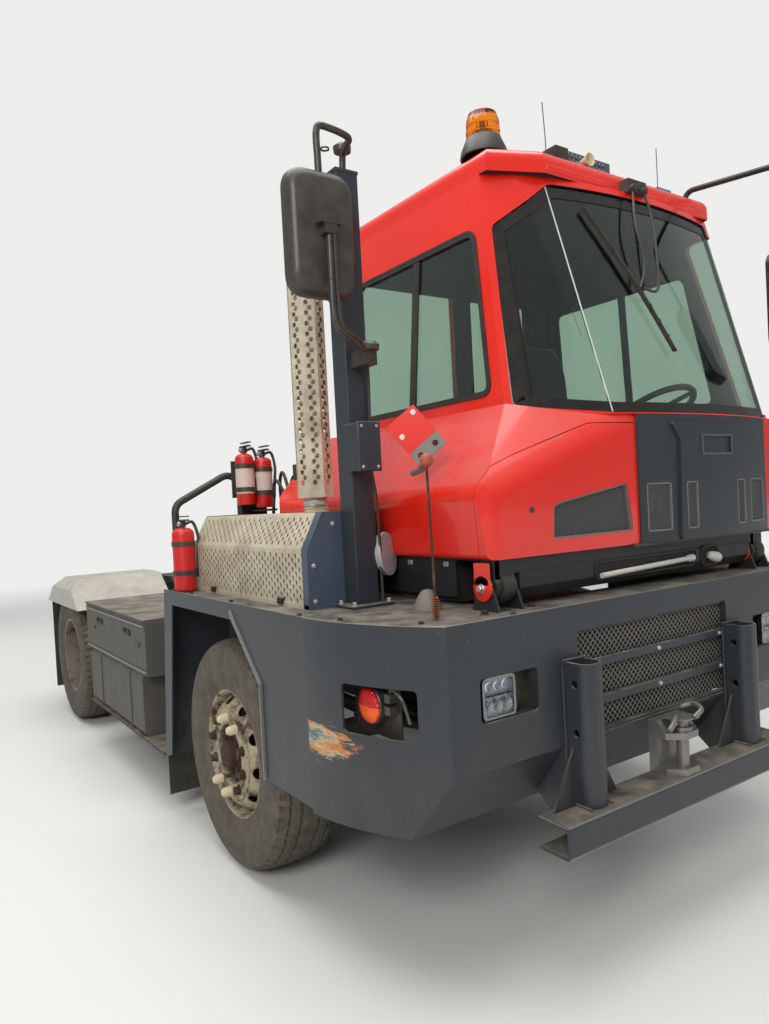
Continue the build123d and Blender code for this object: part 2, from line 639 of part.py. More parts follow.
def knuckle():
    """Fork round the axle's end boss, with kingpin, spindle and steering arm."""
    x, y, z = -KINGPIN_X, FRONT_AXLE_Y, AXLE_Z
    ear = block(x - 95, x, y - 55, y + 55, 0, EAR_T) + Pos(x, y, EAR_T / 2) * Cylinder(55, EAR_T)
    fork = Pos(0, 0, z + FORK_Z) * ear + Pos(0, 0, z - FORK_Z - EAR_T) * ear
    fork += block(x - 95, x - 60, y - 55, y + 55, z - FORK_Z - EAR_T, z + FORK_Z + EAR_T)
    fork += bar((x, y, z - FORK_Z - 2), (x, y, z + FORK_Z + 2), KINGPIN_R)
    fork += bar((x - 90, y, z), (-WHEEL_X - 140, y, z), SPINDLE_R)
    end_x, end_y = x + ARM_END[0], y + ARM_END[1]
    arm = [(x - 34, y + 30), (x + 34, y + 30), (end_x + 24, end_y), (end_x + 14, end_y + 22),
           (end_x - 14, end_y + 22), (end_x - 24, end_y)]
    fork += plan(arm, z - FORK_Z - EAR_T, z - FORK_Z)
    return fork + bar((end_x, end_y, TIE_Z - 52), (end_x, end_y, TIE_Z + 2), 14)


def tie_rod():
    """Rod between the two steering arms."""
    end_x, end_y = KINGPIN_X - ARM_END[0], FRONT_AXLE_Y + ARM_END[1]
    z0, z1 = TIE_Z - 46, TIE_Z - 6
    rod = bar((-end_x + 20, end_y, (z0 + z1) / 2), (end_x - 20, end_y, (z0 + z1) / 2), 18)
    for x in (-end_x, end_x):
        rod += bar((x, end_y, z0), (x, end_y, z1), 24)
    for x in (-end_x, end_x):
        rod -= bar((x, end_y, z0 - 1), (x, end_y, z1 + 1), 14 + RUNNING_GAP)
    return rod


def front_axle():
    """Dropped beam between the kingpins, with spring pads and leaf springs."""
    y, z = FRONT_AXLE_Y, AXLE_Z
    beam = block(-KINGPIN_X + 20, KINGPIN_X - 20, y - 45, y + 45, z - 70, z + 20)
    beam += block(-RAIL_FLANGE_X, -RAIL_WEB_X, y - 60, y + 60, z + 20, z + 35)
    beam += block(RAIL_WEB_X, RAIL_FLANGE_X, y - 60, y + 60, z + 20, z + 35)
    for x in (-KINGPIN_X, KINGPIN_X):
        beam += bar((x, y, z - FORK_Z + 1), (x, y, z + FORK_Z - 1), 52)
        beam -= bar((x, y, z - 200), (x, y, z + 200), KINGPIN_R + RUNNING_GAP)
    return beam


def leaf_springs():
    """Bowed packs between the axle pads and hangers under the rails."""
    y, z = FRONT_AXLE_Y, AXLE_Z + 35
    reach = 600
    low = ThreePointArc((y - reach, z + 50), (y, z), (y + reach, z + 50))
    high = ThreePointArc((y - reach, z + 75), (y, z + 45), (y + reach, z + 75))
    ends = [Line(low @ 0, high @ 0), Line(low @ 1, high @ 1)]
    pack = make_face(Plane.YZ * (Curve() + low + high + ends[0] + ends[1]))
    pack = Pos(-RAIL_FLANGE_X + 5, 0, 0) * extrude(pack, 75)
    for end in (y - reach, y + reach - 40):
        pack += block(-RAIL_FLANGE_X + 5, -RAIL_FLANGE_X + 80, end, end + 40, z + 55, RAIL_Z0)
    return both_sides(pack)


def rear_axle():
    """Housing with the differential bulb, its spindles, and pads bolted up to the rails."""
    y, z = REAR_AXLE_Y, AXLE_Z
    end, tip = INNER_X - 108, WHEEL_X + 54
    # Half outline, as points (x, radius) from the middle out
    half = [(0, 180), (110, 150), (190, 70), (end, 70), (end, SPINDLE_R), (tip, SPINDLE_R), (tip, 0)]
    axle = turned([(-x, r) for x, r in reversed(half)] + half[1:], (0, y, z))
    axle += bar(shaft_point(PINION_REACH), shaft_point(60), 60)
    for x0 in (-RAIL_FLANGE_X, RAIL_WEB_X):
        axle += block(x0, x0 + RAIL_FLANGE_X - RAIL_WEB_X, y - 60, y + 60, z, RAIL_Z0)
    return axle


FENDER_T = 5
FENDER_FOOT_Z = 930
FENDER_TOP = 1150


def fender_form(inset):
    """Closed form over a twin wheel: sloped front and rear, flat top, bevelled outer edge."""
    y, t = REAR_AXLE_Y, inset
    outer_x, top = -HALF_WIDTH + 5 + t, FENDER_TOP - t
    outline = [(y - 500 + t, 0), (y - 500 + t, FENDER_FOOT_Z), (y - 210 + t * 0.6, top),
               (y + 260 - t * 0.6, top), (y + 640 - t, FENDER_FOOT_Z), (y + 640 - t, 0)]
    form = side(outline, outer_x, -RAIL_FLANGE_X - 10)
    bevel = [(outer_x, 0), (outer_x, FENDER_TOP - 80), (-HALF_WIDTH + 85 + t * 0.4, top), (0, top), (0, 0)]
    return form & front(bevel, y - 600, y + 700)


def rear_fenders():
    """Bevelled guard over each twin wheel, on a stay from the rail."""
    guard = fender_form(0) - fender_form(FENDER_T)
    guard -= block(-2000, 0, 0, 4000, 0, FENDER_FOOT_Z)
    y = REAR_AXLE_Y
    guard += block(-RAIL_FLANGE_X - 10, -RAIL_FLANGE_X, y - 40, y + 40, 700, FENDER_TOP)
    return both_sides(guard)


SHAFT_FRONT_Y = FRONT_AXLE_Y + 560
SHAFT_FRONT_Z = 690
PINION_REACH = 240


def shaft_point(reach):
    """Point of the propeller shaft's line, reach ahead of the rear axle."""
    start = Vector(0, SHAFT_FRONT_Y, SHAFT_FRONT_Z)
    end = Vector(0, REAR_AXLE_Y, AXLE_Z + 20)
    return tuple(end + (start - end).normalized() * reach)


def driveline():
    """Plain blocks of the engine and gearbox between the rails, and the shaft to the rear axle."""
    y0, y1 = FRONT_AXLE_Y - 1120, FRONT_AXLE_Y - 100
    unit = block(-330, 330, y0, y1, 640, 1150)
    for y in (y0 + 150, y1 - 200):
        unit += block(-RAIL_WEB_X, RAIL_WEB_X, y, y + 50, 760, 800)
    gearbox_end = y1 + 660
    unit += block(-230, 230, y1, gearbox_end, 610, 900)
    return unit + bar((0, gearbox_end, SHAFT_FRONT_Z), shaft_point(PINION_REACH), 40)


def radiator():
    return block(-385, 385, RAIL_FRONT_Y + 15, RAIL_FRONT_Y + 85, 740, 1190) + block(
        -RAIL_WEB_X, RAIL_WEB_X, RAIL_FRONT_Y + 15, RAIL_FRONT_Y + 85, 700, 740)


# Lifting boom, its cylinders and the fifth wheel

# Side outline of a boom arm, as points (y, z), and its lightening holes, as (y, z, radius)
ARM_OUTLINE = [(350, 800), (1000, 772), (FIFTH_Y - 400, 772), (FIFTH_Y + 210, 885), (FIFTH_Y + 210, 940),
               (FIFTH_Y + 140, 960), (FIFTH_Y + 80, 1015), (FIFTH_Y - 80, 1015), (FIFTH_Y - 140, 945),
               (350, 958)]
ARM_HOLES = ((620, 872, 42), (820, 868, 42), (FIFTH_Y - 570, 858, 46), (FIFTH_Y - 380, 858, 42))
CROSS_TUBES = ((700, 890), (FIFTH_Y - 340, 850))


def lift_boom():
    """Two bored arms on a cross pin, joined by tubes, with bossed ears for the fifth wheel."""
    arm = side(ARM_OUTLINE, -BOOM_X, -BOOM_X + BOOM_T, 12)
    arm += bar((-BOOM_X, *BOOM_PIVOT), (-BOOM_X + BOOM_T, *BOOM_PIVOT), 80)
    arm += bar((-BOOM_X, *ROD_PIN), (-BOOM_X + BOOM_T + 14, *ROD_PIN), 62)
    for y, z, radius in ARM_HOLES:
        arm -= bar((-BOOM_X - 1, y, z), (-BOOM_X + BOOM_T + 1, y, z), radius)
    boom = both_sides(arm)
    inner = BOOM_X - BOOM_T
    for y, z in CROSS_TUBES:
        boom += bar((-inner, y, z), (inner, y, z), 50)
    boom += bar((-inner, *ROD_PIN), (inner, *ROD_PIN), ROD_PIN_R)
    for pin, radius in ((BOOM_PIVOT, BOOM_PIN_R), ((FIFTH_Y, FIFTH_PIVOT_Z), FIFTH_PIN_R)):
        boom -= bar((-BOOM_X - 1, *pin), (BOOM_X + 1, *pin), radius + RUNNING_GAP)
    return boom


PLATE_T = 45
THROAT_R = 26
RAMP_DROP = 36
LUG_X = 215
LUG_T = 53


def fifth_wheel():
    """Horseshoe coupling plate: throat, ramped rear horns, ribs, grease grooves, lugs and cross pin."""
    y, top, t = FIFTH_Y, FIFTH_TOP, PLATE_T
    # Right half of the plate's outline, from the front edge round to the throat
    half = [(0, y - 310), (-330, y - 310), (-450, y - 180), (-450, y + 210), (-330, y + 400), (-190, y + 430),
            (-40, y + 60), (-THROAT_R, y), (0, y)]
    plate = plan(half, top - t, top, (2, 90, 90, 60, 50, 30, 20, 2, 2))
    # The horns fall away to the rear, so that a trailer's plate rides up them
    ramp = side([(y + 250, top), (y + 440, top - RAMP_DROP), (y + 440, top + 5), (y + 250, top + 5)], -460, 0)
    plate -= ramp
    for radius in (150, 250):
        groove = Pos(0, y, top - 4) * (Cylinder(radius + 5, 10) - Cylinder(radius - 5, 11))
        plate -= groove & block(-460, -60, y - 320, y + 230, top - 10, top + 10)
    rib = [(y - 270, top - t), (y - 90, FIFTH_PIVOT_Z - 10), (y + 90, FIFTH_PIVOT_Z - 10), (y + 330, top - t)]
    plate += side(rib, -384, -364)
    foot = FIFTH_PIVOT_Z - 48
    lug = [(y - 120, top - t), (y - 48, foot), (y + 48, foot), (y + 120, top - t)]
    plate += side(lug, -LUG_X - LUG_T, -LUG_X, (2, 46, 46, 2))
    wheel = both_sides(plate)
    wheel -= bar((0, y, top - t - 5), (0, y, top + 10), THROAT_R)
    wheel += bar((-BOOM_X, y, FIFTH_PIVOT_Z), (BOOM_X, y, FIFTH_PIVOT_Z), FIFTH_PIN_R)
    return wheel


CYLINDER_LENGTH = math.dist(FOOT_PIN, ROD_PIN)
CYLINDER_TURN = math.degrees(math.atan2(ROD_PIN[1] - FOOT_PIN[1], ROD_PIN[0] - FOOT_PIN[0]))
EYE_DRIFT = 5


def along_cylinder(piece):
    """Takes a piece drawn upwards from the foot pin into the cylinder's line, on both sides."""
    turn = Rotation(CYLINDER_TURN - 90, 0, 0)
    placed = Pos(-CYLINDER_X, *FOOT_PIN) * turn * piece
    return both_sides(placed)


def cylinder_barrels():
    across = Rotation(0, 90, 0)
    base = (Align.CENTER, Align.CENTER, Align.MIN)
    barrel = Pos(0, 0, 35) * Cylinder(55, 525, align=base) + across * Cylinder(50, 60)
    barrel -= Pos(0, 0, 75) * Cylinder(32 + RUNNING_GAP, 500, align=base)
    return along_cylinder(barrel - across * Cylinder(ROD_PIN_R + RUNNING_GAP, 70))


def cylinder_rods():
    across = Rotation(0, 90, 0)
    start = 330
    rod = Pos(0, 0, (start + CYLINDER_LENGTH) / 2) * Cylinder(32, CYLINDER_LENGTH - start)
    rod += Pos(0, 0, CYLINDER_LENGTH) * across * Cylinder(56, 60)
    return along_cylinder(rod - Pos(0, 0, CYLINDER_LENGTH) * across * Cylinder(ROD_PIN_R + EYE_DRIFT, 70))


# Cab

SCREEN_R = 2596
SCREEN_X = 570
SCREEN_Y = FRONT_AXLE_Y - 1360
SCREEN_Z = 1935
SCREEN_LEAN = 0.28
# Flat sides of the glasshouse: a point and the outward normal of each
GLASSHOUSE_SIDES = (
    ((CAB_RIGHT_X, 0, 2000), (-0.9955, 0, 0.0942)),
    ((CAB_RIGHT_X, FRONT_AXLE_Y - 1070, 2000), (-0.462, -0.862, 0.207)),
    ((CAB_LEFT_X, 0, 2000), (0.9985, 0, 0.055)),
    ((1110, FRONT_AXLE_Y - 1300, 1935), (0.733, -0.66, 0.165)),
)


def glasshouse(inset, z0, z1):
    """Upper cab as a closed form: bowed leaning screen, flat sides, drawn in by inset."""
    left_x, right_x = 1300, -600
    radius = SCREEN_R - inset
    centre_y = SCREEN_Y + SCREEN_R

    def on_screen(x):
        return (x, centre_y - math.sqrt(radius ** 2 - (x - SCREEN_X) ** 2))

    arc = ThreePointArc(on_screen(right_x), on_screen(SCREEN_X), on_screen(left_x))
    back_y = 500
    rest = Polyline(on_screen(right_x), (right_x, back_y), (left_x, back_y), on_screen(left_x))
    outline = make_face(Curve() + arc + rest)
    lift = z1 - z0
    shift = SCREEN_LEAN * (z0 - SCREEN_Z)
    along_lean = lift * math.hypot(1, SCREEN_LEAN)
    form = extrude(Pos(0, shift, z0) * outline, amount=along_lean, dir=(0, SCREEN_LEAN, 1))
    for point, normal in GLASSHOUSE_SIDES:
        out = Vector(*normal).normalized()
        form = split(form, bisect_by=Plane(origin=Vector(*point) - out * inset, z_dir=out), keep=Keep.BOTTOM)
    rear_wall = Plane(origin=(0, CAB_REAR_Y - inset, 0), z_dir=(0, 1, 0))
    return split(form, bisect_by=rear_wall, keep=Keep.BOTTOM)


def fit_y(points):
    """Points (y, z) measured from the front axle, moved to the part's own frame."""
    return [(FRONT_AXLE_Y + y, z) for y, z in points]


SIDE_WINDOW = fit_y([(-1000, 2040), (60, 2040), (60, 2770), (-870, 2770)])
SIDE_WINDOW_CORNERS = (45, 60, 60, 95)
SCREEN_OPENING = [(-372, 2003), (-352, 1985), (0, 1945), (1085, 1945), (1105, 2960), (-20, 2960),
                  (-300, 2758)]
SCREEN_CORNERS = (8, 12, 20, 20, 20, 60, 45)
# Opening of the left corner pane, which leans back with the screen
LEFT_PANE = fit_y([(-1460, 1960), (-1145, 1960), (-890, 2900), (-1460, 2900)])
SEAM = [(-4, 1900), (-30, 3050)]
DOOR_X = (420, 1020)
DOOR_Z = (1480, 2870)
REAR_WINDOW = (-300, 360, 2060, 2800)


def side_openings():
    return (side(SIDE_WINDOW, -700, -200, SIDE_WINDOW_CORNERS)
            + side(SIDE_WINDOW, 1000, 1400, SIDE_WINDOW_CORNERS))


def screen_opening():
    """Cutter of the screen and the corner pane on its right."""
    return front(SCREEN_OPENING, SCREEN_Y - 100, FRONT_AXLE_Y - 880, SCREEN_CORNERS)


def left_pane_opening():
    return side(LEFT_PANE, 1080, 1400, (20, 30, 30, 20))


def cab_frame():
    """Pillars, header and rear wall of the glasshouse."""
    shell = glasshouse(0, SILL_Z, HEADER_Z) - glasshouse(CAB_WALL, SILL_Z - 1, HEADER_Z + 1)
    shell -= side_openings() + screen_opening()
    shell -= left_pane_opening()
    x0, x1, z0, z1 = REAR_WINDOW
    shell -= block(x0, x1, CAB_REAR_Y - 100, CAB_REAR_Y + 10, z0, z1)
    return shell - block(DOOR_X[0], DOOR_X[1], CAB_REAR_Y - 100, CAB_REAR_Y + 10, SILL_Z - 1, DOOR_Z[1])


def glass_sheet():
    return glasshouse(10, SILL_Z - 30, HEADER_Z - 5) - glasshouse(10 + GLASS_T, SILL_Z - 31, HEADER_Z)


def windscreen():
    """Bowed pane, wrapped round the left corner."""
    ahead = front([SEAM[0], (1300, 1900), (1300, 3050), SEAM[1]], SCREEN_Y - 100, FRONT_AXLE_Y - 880)
    return glass_sheet() & (screen_opening() + left_pane_opening()) & ahead


def corner_glass():
    beside = front([(-600, 1900), (SEAM[0][0] - 6, 1900), (SEAM[1][0] - 6, 3050), (-600, 3050)],
                   SCREEN_Y - 100, FRONT_AXLE_Y - 880)
    return glass_sheet() & screen_opening() & beside


def side_glass():
    """Panes of the corner, the side windows and the rear window."""
    x0, x1, z0, z1 = REAR_WINDOW
    rear = block(x0, x1, CAB_REAR_Y - 30, CAB_REAR_Y - 24, z0, z1)
    return Part() + [corner_glass(), glass_sheet() & side_openings(), rear]


def cab_roof():
    """Roof cap with rounded edges."""
    points = [(-305, 150), (-305, -930), (-60, -1030), (1120, -1030), (1150, -960), (1150, 150)]
    cap = plan([(x, FRONT_AXLE_Y + y) for x, y in points], HEADER_Z, ROOF_TOP)
    return fillet(cap.edges().filter_by(Plane.XY).group_by(Axis.Z)[-1], 60)


FRONT_WALL_Y = FRONT_AXLE_Y - 1310
TAIL_Y = FRONT_AXLE_Y + 360
TAIL_X = -350
TAIL_TOP = 1740
SHOULDER_Z = 1655
LEDGE_Z = 1997
# The sloped top behind the front crease: the crease rises to the left, and the top rises to the rear
CREASE_RISE = 20
CREASE_V = 1803
TOP_SLOPE = 0.885


def body_form(inset):
    """Lower cab as a closed form, drawn in by inset: four outlines cut into one another."""
    f, reach = FRONT_AXLE_Y, 3000
    # Cross section, as points (x, z)
    section = closed_outline(
        [(CAB_LEFT_X, CAB_FLOOR_Z), (CAB_LEFT_X, SILL_Z), (-8, SILL_Z), (-8, LEDGE_Z), (CAB_RIGHT_X, LEDGE_Z),
         (BODY_RIGHT_X, SHOULDER_Z), (-722, CAB_FLOOR_Z)],
        (30, 2, 2, 2, 2, 80, 20))
    # Plan, as points (x, y): the front corners, the cab's rear and the tail hood
    footprint = closed_outline(
        [(BODY_RIGHT_X, FRONT_WALL_Y), (CAB_LEFT_X, FRONT_WALL_Y), (CAB_LEFT_X, CAB_REAR_Y),
         (TAIL_X, CAB_REAR_Y), (TAIL_X, TAIL_Y), (BODY_RIGHT_X, TAIL_Y)],
        (72, 50, 25, 2, 50, 110))
    # Side view, as points (y, z): the tail hood stays low behind the cab
    lengthways = closed_outline(
        [(f - 1500, 1300), (TAIL_Y, 1300), (TAIL_Y, TAIL_TOP), (CAB_REAR_Y, TAIL_TOP),
         (CAB_REAR_Y, 2100), (f - 1500, 2100)],
        (2, 2, 150, 2, 2, 2))
    # Rounded crease over the front wall, seen along the crease
    rear_v = CREASE_V + (f - FRONT_WALL_Y) * TOP_SLOPE
    crease = closed_outline(
        [(FRONT_WALL_Y, 0), (FRONT_WALL_Y, CREASE_V), (f, rear_v), (f + 900, rear_v), (f + 900, 0)],
        (2, 130, 2, 2, 2))
    along_crease = Plane(origin=(0, 0, 0), x_dir=(0, 1, 0),
                         z_dir=Vector(1, 0, 0).rotate(Axis.Y, -CREASE_RISE))
    form = None
    outlines = ((Plane.XZ, section), (Plane.XY, footprint), (Plane.YZ, lengthways), (along_crease, crease))
    for seat, drawn in outlines:
        face = make_face(drawn)
        if inset:
            face = offset(face, -inset, kind=Kind.INTERSECTION)
        prism = extrude(seat * face, reach, both=True)
        form = prism if form is None else form & prism
    return form


# Lift-off panel of the front wall: its seam, how far it wraps the corner, its thickness and its vent
HATCH_SEAM = [(-900, 1300), (84, 1300), (84, 1905), (-150, 1904), (-353, 1842), (-660, 1748), (-722, 1705),
              (-742, 1640), (-900, 1640)]
HATCH_WRAP = 66
PANEL_T = 22
VENT = [(-403, 1589), (-359, 1602), (26, 1662), (53, 1465), (-411, 1463)]


def hatch_area(gap):
    """Prism of the lift-off panel: seam on the front wall, round the right corner to its end on the side."""
    face = make_face(closed_outline(HATCH_SEAM, 0))
    if gap:
        face = offset(face, -gap, kind=Kind.INTERSECTION)
    return Pos(0, FRONT_WALL_Y - 200, 0) * extrude(Plane.XZ * face, 200 + HATCH_WRAP - gap, dir=(0, 1, 0))


def cab_body():
    """Lower cab shell: sloped shoulder, rounded corner, tail hood, and the recess of the lift-off panel."""
    around = block(-900, CAB_LEFT_X, FRONT_WALL_Y - 10, TAIL_Y, SILL_Z - 300, 2100)
    outer = body_form(0) - (glasshouse(0, SILL_Z, 2100) & around)
    room = block(-900, 1300, FRONT_WALL_Y + CAB_WALL, CAB_REAR_Y - CAB_WALL, CAB_FLOOR_Z + CAB_WALL, 2100)
    shell = outer - (body_form(CAB_WALL) & room)
    shell -= glasshouse(CAB_WALL, SILL_Z - 130, 2100) & room
    hood_low, hood_high = BODY_RIGHT_X + CAB_WALL, TAIL_X - CAB_WALL
    shell -= block(hood_low, hood_high, CAB_REAR_Y, TAIL_Y - CAB_WALL, CAB_FLOOR_Z - 1, TAIL_TOP - 110)
    wall_y = FRONT_WALL_Y + CAB_WALL
    shell -= block(40, CAB_LEFT_X - CAB_WALL, wall_y, FRONT_WALL_Y + 300, SILL_Z - 90, SILL_Z + 1)
    shell -= (body_form(0) - body_form(PANEL_T + 1)) & hatch_area(0)
    shell -= block(DOOR_X[0], DOOR_X[1], CAB_REAR_Y - 100, CAB_REAR_Y + 10, DOOR_Z[0], SILL_Z + 50)
    return shell


def service_panel():
    """Lift-off red panel of the front wall and its right corner, with its vent."""
    panel = (body_form(0) - body_form(PANEL_T)) & hatch_area(3)
    return panel - front(VENT, FRONT_WALL_Y - 10, FRONT_WALL_Y + PANEL_T + 5, 14)


# Vents of the dark centre panel, as half widths from its middle
PANEL_HALF = 478
PANEL_VENTS = ((-440, -300), (-222, -150), (150, 222), (300, 440))
PANEL_VENT_Z = (1455, 1655)
PAD_RAISE = 12
PLATE_RECESS = 5


def bowed_panel(raise_by):
    """Slab on the front wall whose face follows the screen's bow, raised by raise_by."""
    x0, x1 = SCREEN_X - PANEL_HALF, SCREEN_X + PANEL_HALF
    edge_y = FRONT_WALL_Y - 8 - raise_by
    arc = ThreePointArc((x0, edge_y), (SCREEN_X, SCREEN_Y - raise_by), (x1, edge_y))
    rest = Polyline((x0, edge_y), (x0, FRONT_WALL_Y), (x1, FRONT_WALL_Y), (x1, edge_y))
    return Pos(0, 0, CAB_FLOOR_Z + 2) * extrude(make_face(Curve() + arc + rest), SILL_Z - CAB_FLOOR_Z - 4)


def front_panel():
    """Dark bowed panel under the screen: raised pad, blank plate recess and four vents."""
    x = SCREEN_X
    pad = [(-262, 1412), (262, 1412), (248, 1830), (300, 1905), (-300, 1905), (-248, 1830)]
    pad_prism = front([(x + px, z) for px, z in pad], SCREEN_Y - 100, FRONT_WALL_Y, 10)
    panel = bowed_panel(0) + (bowed_panel(PAD_RAISE) & pad_prism)
    plate = front(corners_of((x - 105, 1775), (x + 105, 1845)), SCREEN_Y - 100, FRONT_WALL_Y, 8)
    panel -= (bowed_panel(PAD_RAISE) - bowed_panel(PAD_RAISE - PLATE_RECESS)) & plate
    for low, high in PANEL_VENTS:
        vent = corners_of((x + low, PANEL_VENT_Z[0]), (x + high, PANEL_VENT_Z[1]))
        panel -= front(vent, SCREEN_Y - 100, FRONT_WALL_Y - 3, 12)
    return panel


PIVOT_X = ((-698, -600), (940, 1038))
CHEEK_T = 12
CHEEK_GAP = 2
BOSS_R = 50
CHEEK_R = 38


def cab_beam():
    """Cross beam under the cab's front, with the tilt bosses and the skirt that hangs beside them."""
    y0, y1 = TILT_Y - 45, TILT_Y + 30
    step_z = TILT_Z + CHEEK_R + 8
    inner = CHEEK_GAP + CHEEK_T + 6
    outline = [(y0, 1300), (y0, step_z), (y1, step_z), (y1, 1262), (y0 + 30, 1262)]
    beam = side(outline, PIVOT_X[0][1] + inner, PIVOT_X[1][0] - inner)
    beam += block(PIVOT_X[0][0], PIVOT_X[1][1], TILT_Y - 40, y1, step_z, CAB_FLOOR_Z)
    for x0, x1 in PIVOT_X:
        beam += bar((x0, TILT_Y, TILT_Z), (x1, TILT_Y, TILT_Z), BOSS_R)
        beam += block(x0, x1, TILT_Y - 40, y1, TILT_Z, step_z)
    for x0, x1 in PIVOT_X:
        beam -= bar((x0 - 1, TILT_Y, TILT_Z), (x1 + 1, TILT_Y, TILT_Z), 20 + RUNNING_GAP)
    return beam + cab_skirt()


def cab_mounts():
    """Tilt brackets on the front deck and the rests under the cab's rear."""
    cheek = [(TILT_Y - 70, DECK_TOP), (TILT_Y - CHEEK_R, TILT_Z), (TILT_Y + CHEEK_R, TILT_Z),
             (TILT_Y + 70, DECK_TOP)]
    y = FRONT_AXLE_Y + 60
    mounts = [block(x - 35, x + 35, y - 35, y + 35, RAIL_Z1, CAB_FLOOR_Z - RUNNING_GAP) for x in (-445, 445)]
    for x0, x1 in PIVOT_X:
        for start in (x0 - CHEEK_GAP - CHEEK_T, x1 + CHEEK_GAP):
            mounts.append(side(cheek, start, start + CHEEK_T))
            mounts.append(bar((start, TILT_Y, TILT_Z), (start + CHEEK_T, TILT_Y, TILT_Z), CHEEK_R))
        reach = CHEEK_GAP + CHEEK_T
        mounts.append(bar((x0 - reach, TILT_Y, TILT_Z), (x1 + reach, TILT_Y, TILT_Z), 20))
    return Part() + mounts


def cab_skirt():
    y0, y1 = FRONT_AXLE_Y - 1070, FRONT_AXLE_Y - 500
    outline = [(y0, CAB_FLOOR_Z), (y0, 1262), (y1, 1262), (y1, CAB_FLOOR_Z)]
    skirt = side(outline, -690, -682)
    return skirt + block(-690, -640, y0, y1, CAB_FLOOR_Z - 6, CAB_FLOOR_Z) + block(
        -690, PIVOT_X[0][1], TILT_Y, y0, CAB_FLOOR_Z - 6, CAB_FLOOR_Z)


def seat():
    """Driver's seat: bellows pedestal, cushion, tapered back and armrests, with rounded edges."""
    x, y = 620, FRONT_AXLE_Y - 480
    floor = CAB_FLOOR_Z + CAB_WALL
    base = block(x - 170, x + 170, y - 190, y + 170, floor, floor + 60)
    base += loft([Pos(x, y, floor + 60) * Rectangle(330, 340), Pos(x, y, 1770) * Rectangle(400, 360)])
    cushion = fillet(block(x - 250, x + 250, y - 270, y + 230, 1770, 1885).edges().filter_by(Axis.Z), 60)
    cushion = chamfer(cushion.edges().group_by(Axis.Z)[-1], 22)
    back = side([(y + 190, 1800), (y + 290, 2500), (y + 190, 2500), (y + 90, 1870)], x - 235, x + 235, 30)
    seat_shape = base + cushion + back
    for turn in (-1, 1):
        start = x + turn * 272
        arm = side([(y - 120, 2030), (y + 190, 2030), (y + 190, 2085), (y - 120, 2085)],
                   start - 28, start + 28, 24)
        inner = x + turn * 225
        link = block(min(start, inner), max(start, inner), y + 150, y + 185, 2035, 2080)
        seat_shape += arm + link
    return seat_shape


def console():
    """Dash under the screen, hooded ahead of the driver, with the steering column and wheel."""
    y1 = FRONT_WALL_Y + CAB_WALL
    floor = CAB_FLOOR_Z + CAB_WALL
    dash = [(y1, floor), (y1 + 150, floor), (y1 + 150, 1700), (y1 + 260, 1850), (y1 + 205, 1925), (y1, 1925)]
    hood = [(y1 + 60, 1920), (y1 + 210, 1900), (y1 + 190, 1985), (y1 + 90, 1985)]
    covers = side(dash, 60, 1150, (2, 20, 60, 30, 30, 2)) + side(hood, 430, 810, (2, 2, 20, 20))
    return covers + steering_wheel()


def steering_wheel():
    x, y, z = 620, FRONT_AXLE_Y - 1010, 1990
    seat_plane = Plane(origin=(x, y, z), z_dir=(0, 0.55, 1))
    rim = seat_plane * revolve(Plane.XZ * Pos(205, 0) * RegularPolygon(15, 8), Axis.Z, 360)
    wheel = rim + seat_plane * Cylinder(48, 26)
    for turn in (90, 210, 330):
        wheel += seat_plane * Rot(0, 0, turn) * Pos(120, 0, 0) * Box(150, 34, 10)
    return wheel + bar((x, y, z), (x, y - 60, z - 120), 25)


HINGE_PIN = (DOOR_X[1] + 2, CAB_REAR_Y + 10)
HINGE_PIN_R = 5
HINGE_Z = (1580, 2700)


def hinge_leaves(z):
    """Fixed half of a door hinge: two leaves on the wall with the pin between them."""
    x, y = HINGE_PIN
    half = bar((x, y, z - 30), (x, y, z + 90), HINGE_PIN_R)
    for z0, z1 in ((z - 30, z - 1), (z + 61, z + 90)):
        half += bar((x, y, z0), (x, y, z1), 10) + block(x, x + 50, CAB_REAR_Y, CAB_REAR_Y + 6, z0, z1)
    return half


def hinge_knuckle(z):
    """Moving half of a door hinge, with a running fit on the pin."""
    x, y = HINGE_PIN
    half = bar((x, y, z), (x, y, z + 60), 10) + block(x - 50, x, CAB_REAR_Y, CAB_REAR_Y + 6, z, z + 60)
    return half - bar((x, y, z - 1), (x, y, z + 61), HINGE_PIN_R + RUNNING_GAP)


def door():
    """Rear entry door with its window cut."""
    gap = 4
    x0, x1, z0, z1 = DOOR_X[0] + gap, DOOR_X[1] - gap, DOOR_Z[0] + gap, DOOR_Z[1] - gap
    leaf = block(x0, x1, CAB_REAR_Y - CAB_WALL, CAB_REAR_Y, z0, z1)
    leaf -= block(x0 + 70, x1 - 70, CAB_REAR_Y - 60, CAB_REAR_Y + 10, 1980, z1 - 70)
    return Part() + leaf + [hinge_knuckle(z) for z in HINGE_Z]


def door_glass():
    x0, x1 = DOOR_X[0] + 74, DOOR_X[1] - 74
    return block(x0, x1, CAB_REAR_Y - 30, CAB_REAR_Y - 24, 1980, DOOR_Z[1] - 74)


def wiper():
    """Two arms and the blade ahead of the screen."""
    def ahead(x, z, off):
        bow = SCREEN_R - math.sqrt(SCREEN_R ** 2 - (x - SCREEN_X) ** 2)
        return (x, SCREEN_Y + bow + SCREEN_LEAN * (z - SCREEN_Z) - off, z)

    blade = bar(ahead(120, 2880, 22), ahead(470, 2150, 22), 9)
    arms = bar(ahead(560, 3030, 30), ahead(300, 2500, 30), 10)
    arms += bar(ahead(480, 3030, 30), ahead(270, 2560, 30), 8)
    base = block(440, 600, FRONT_AXLE_Y - 1085, FRONT_AXLE_Y - 1030, 3010, 3060)
    return blade + arms + base


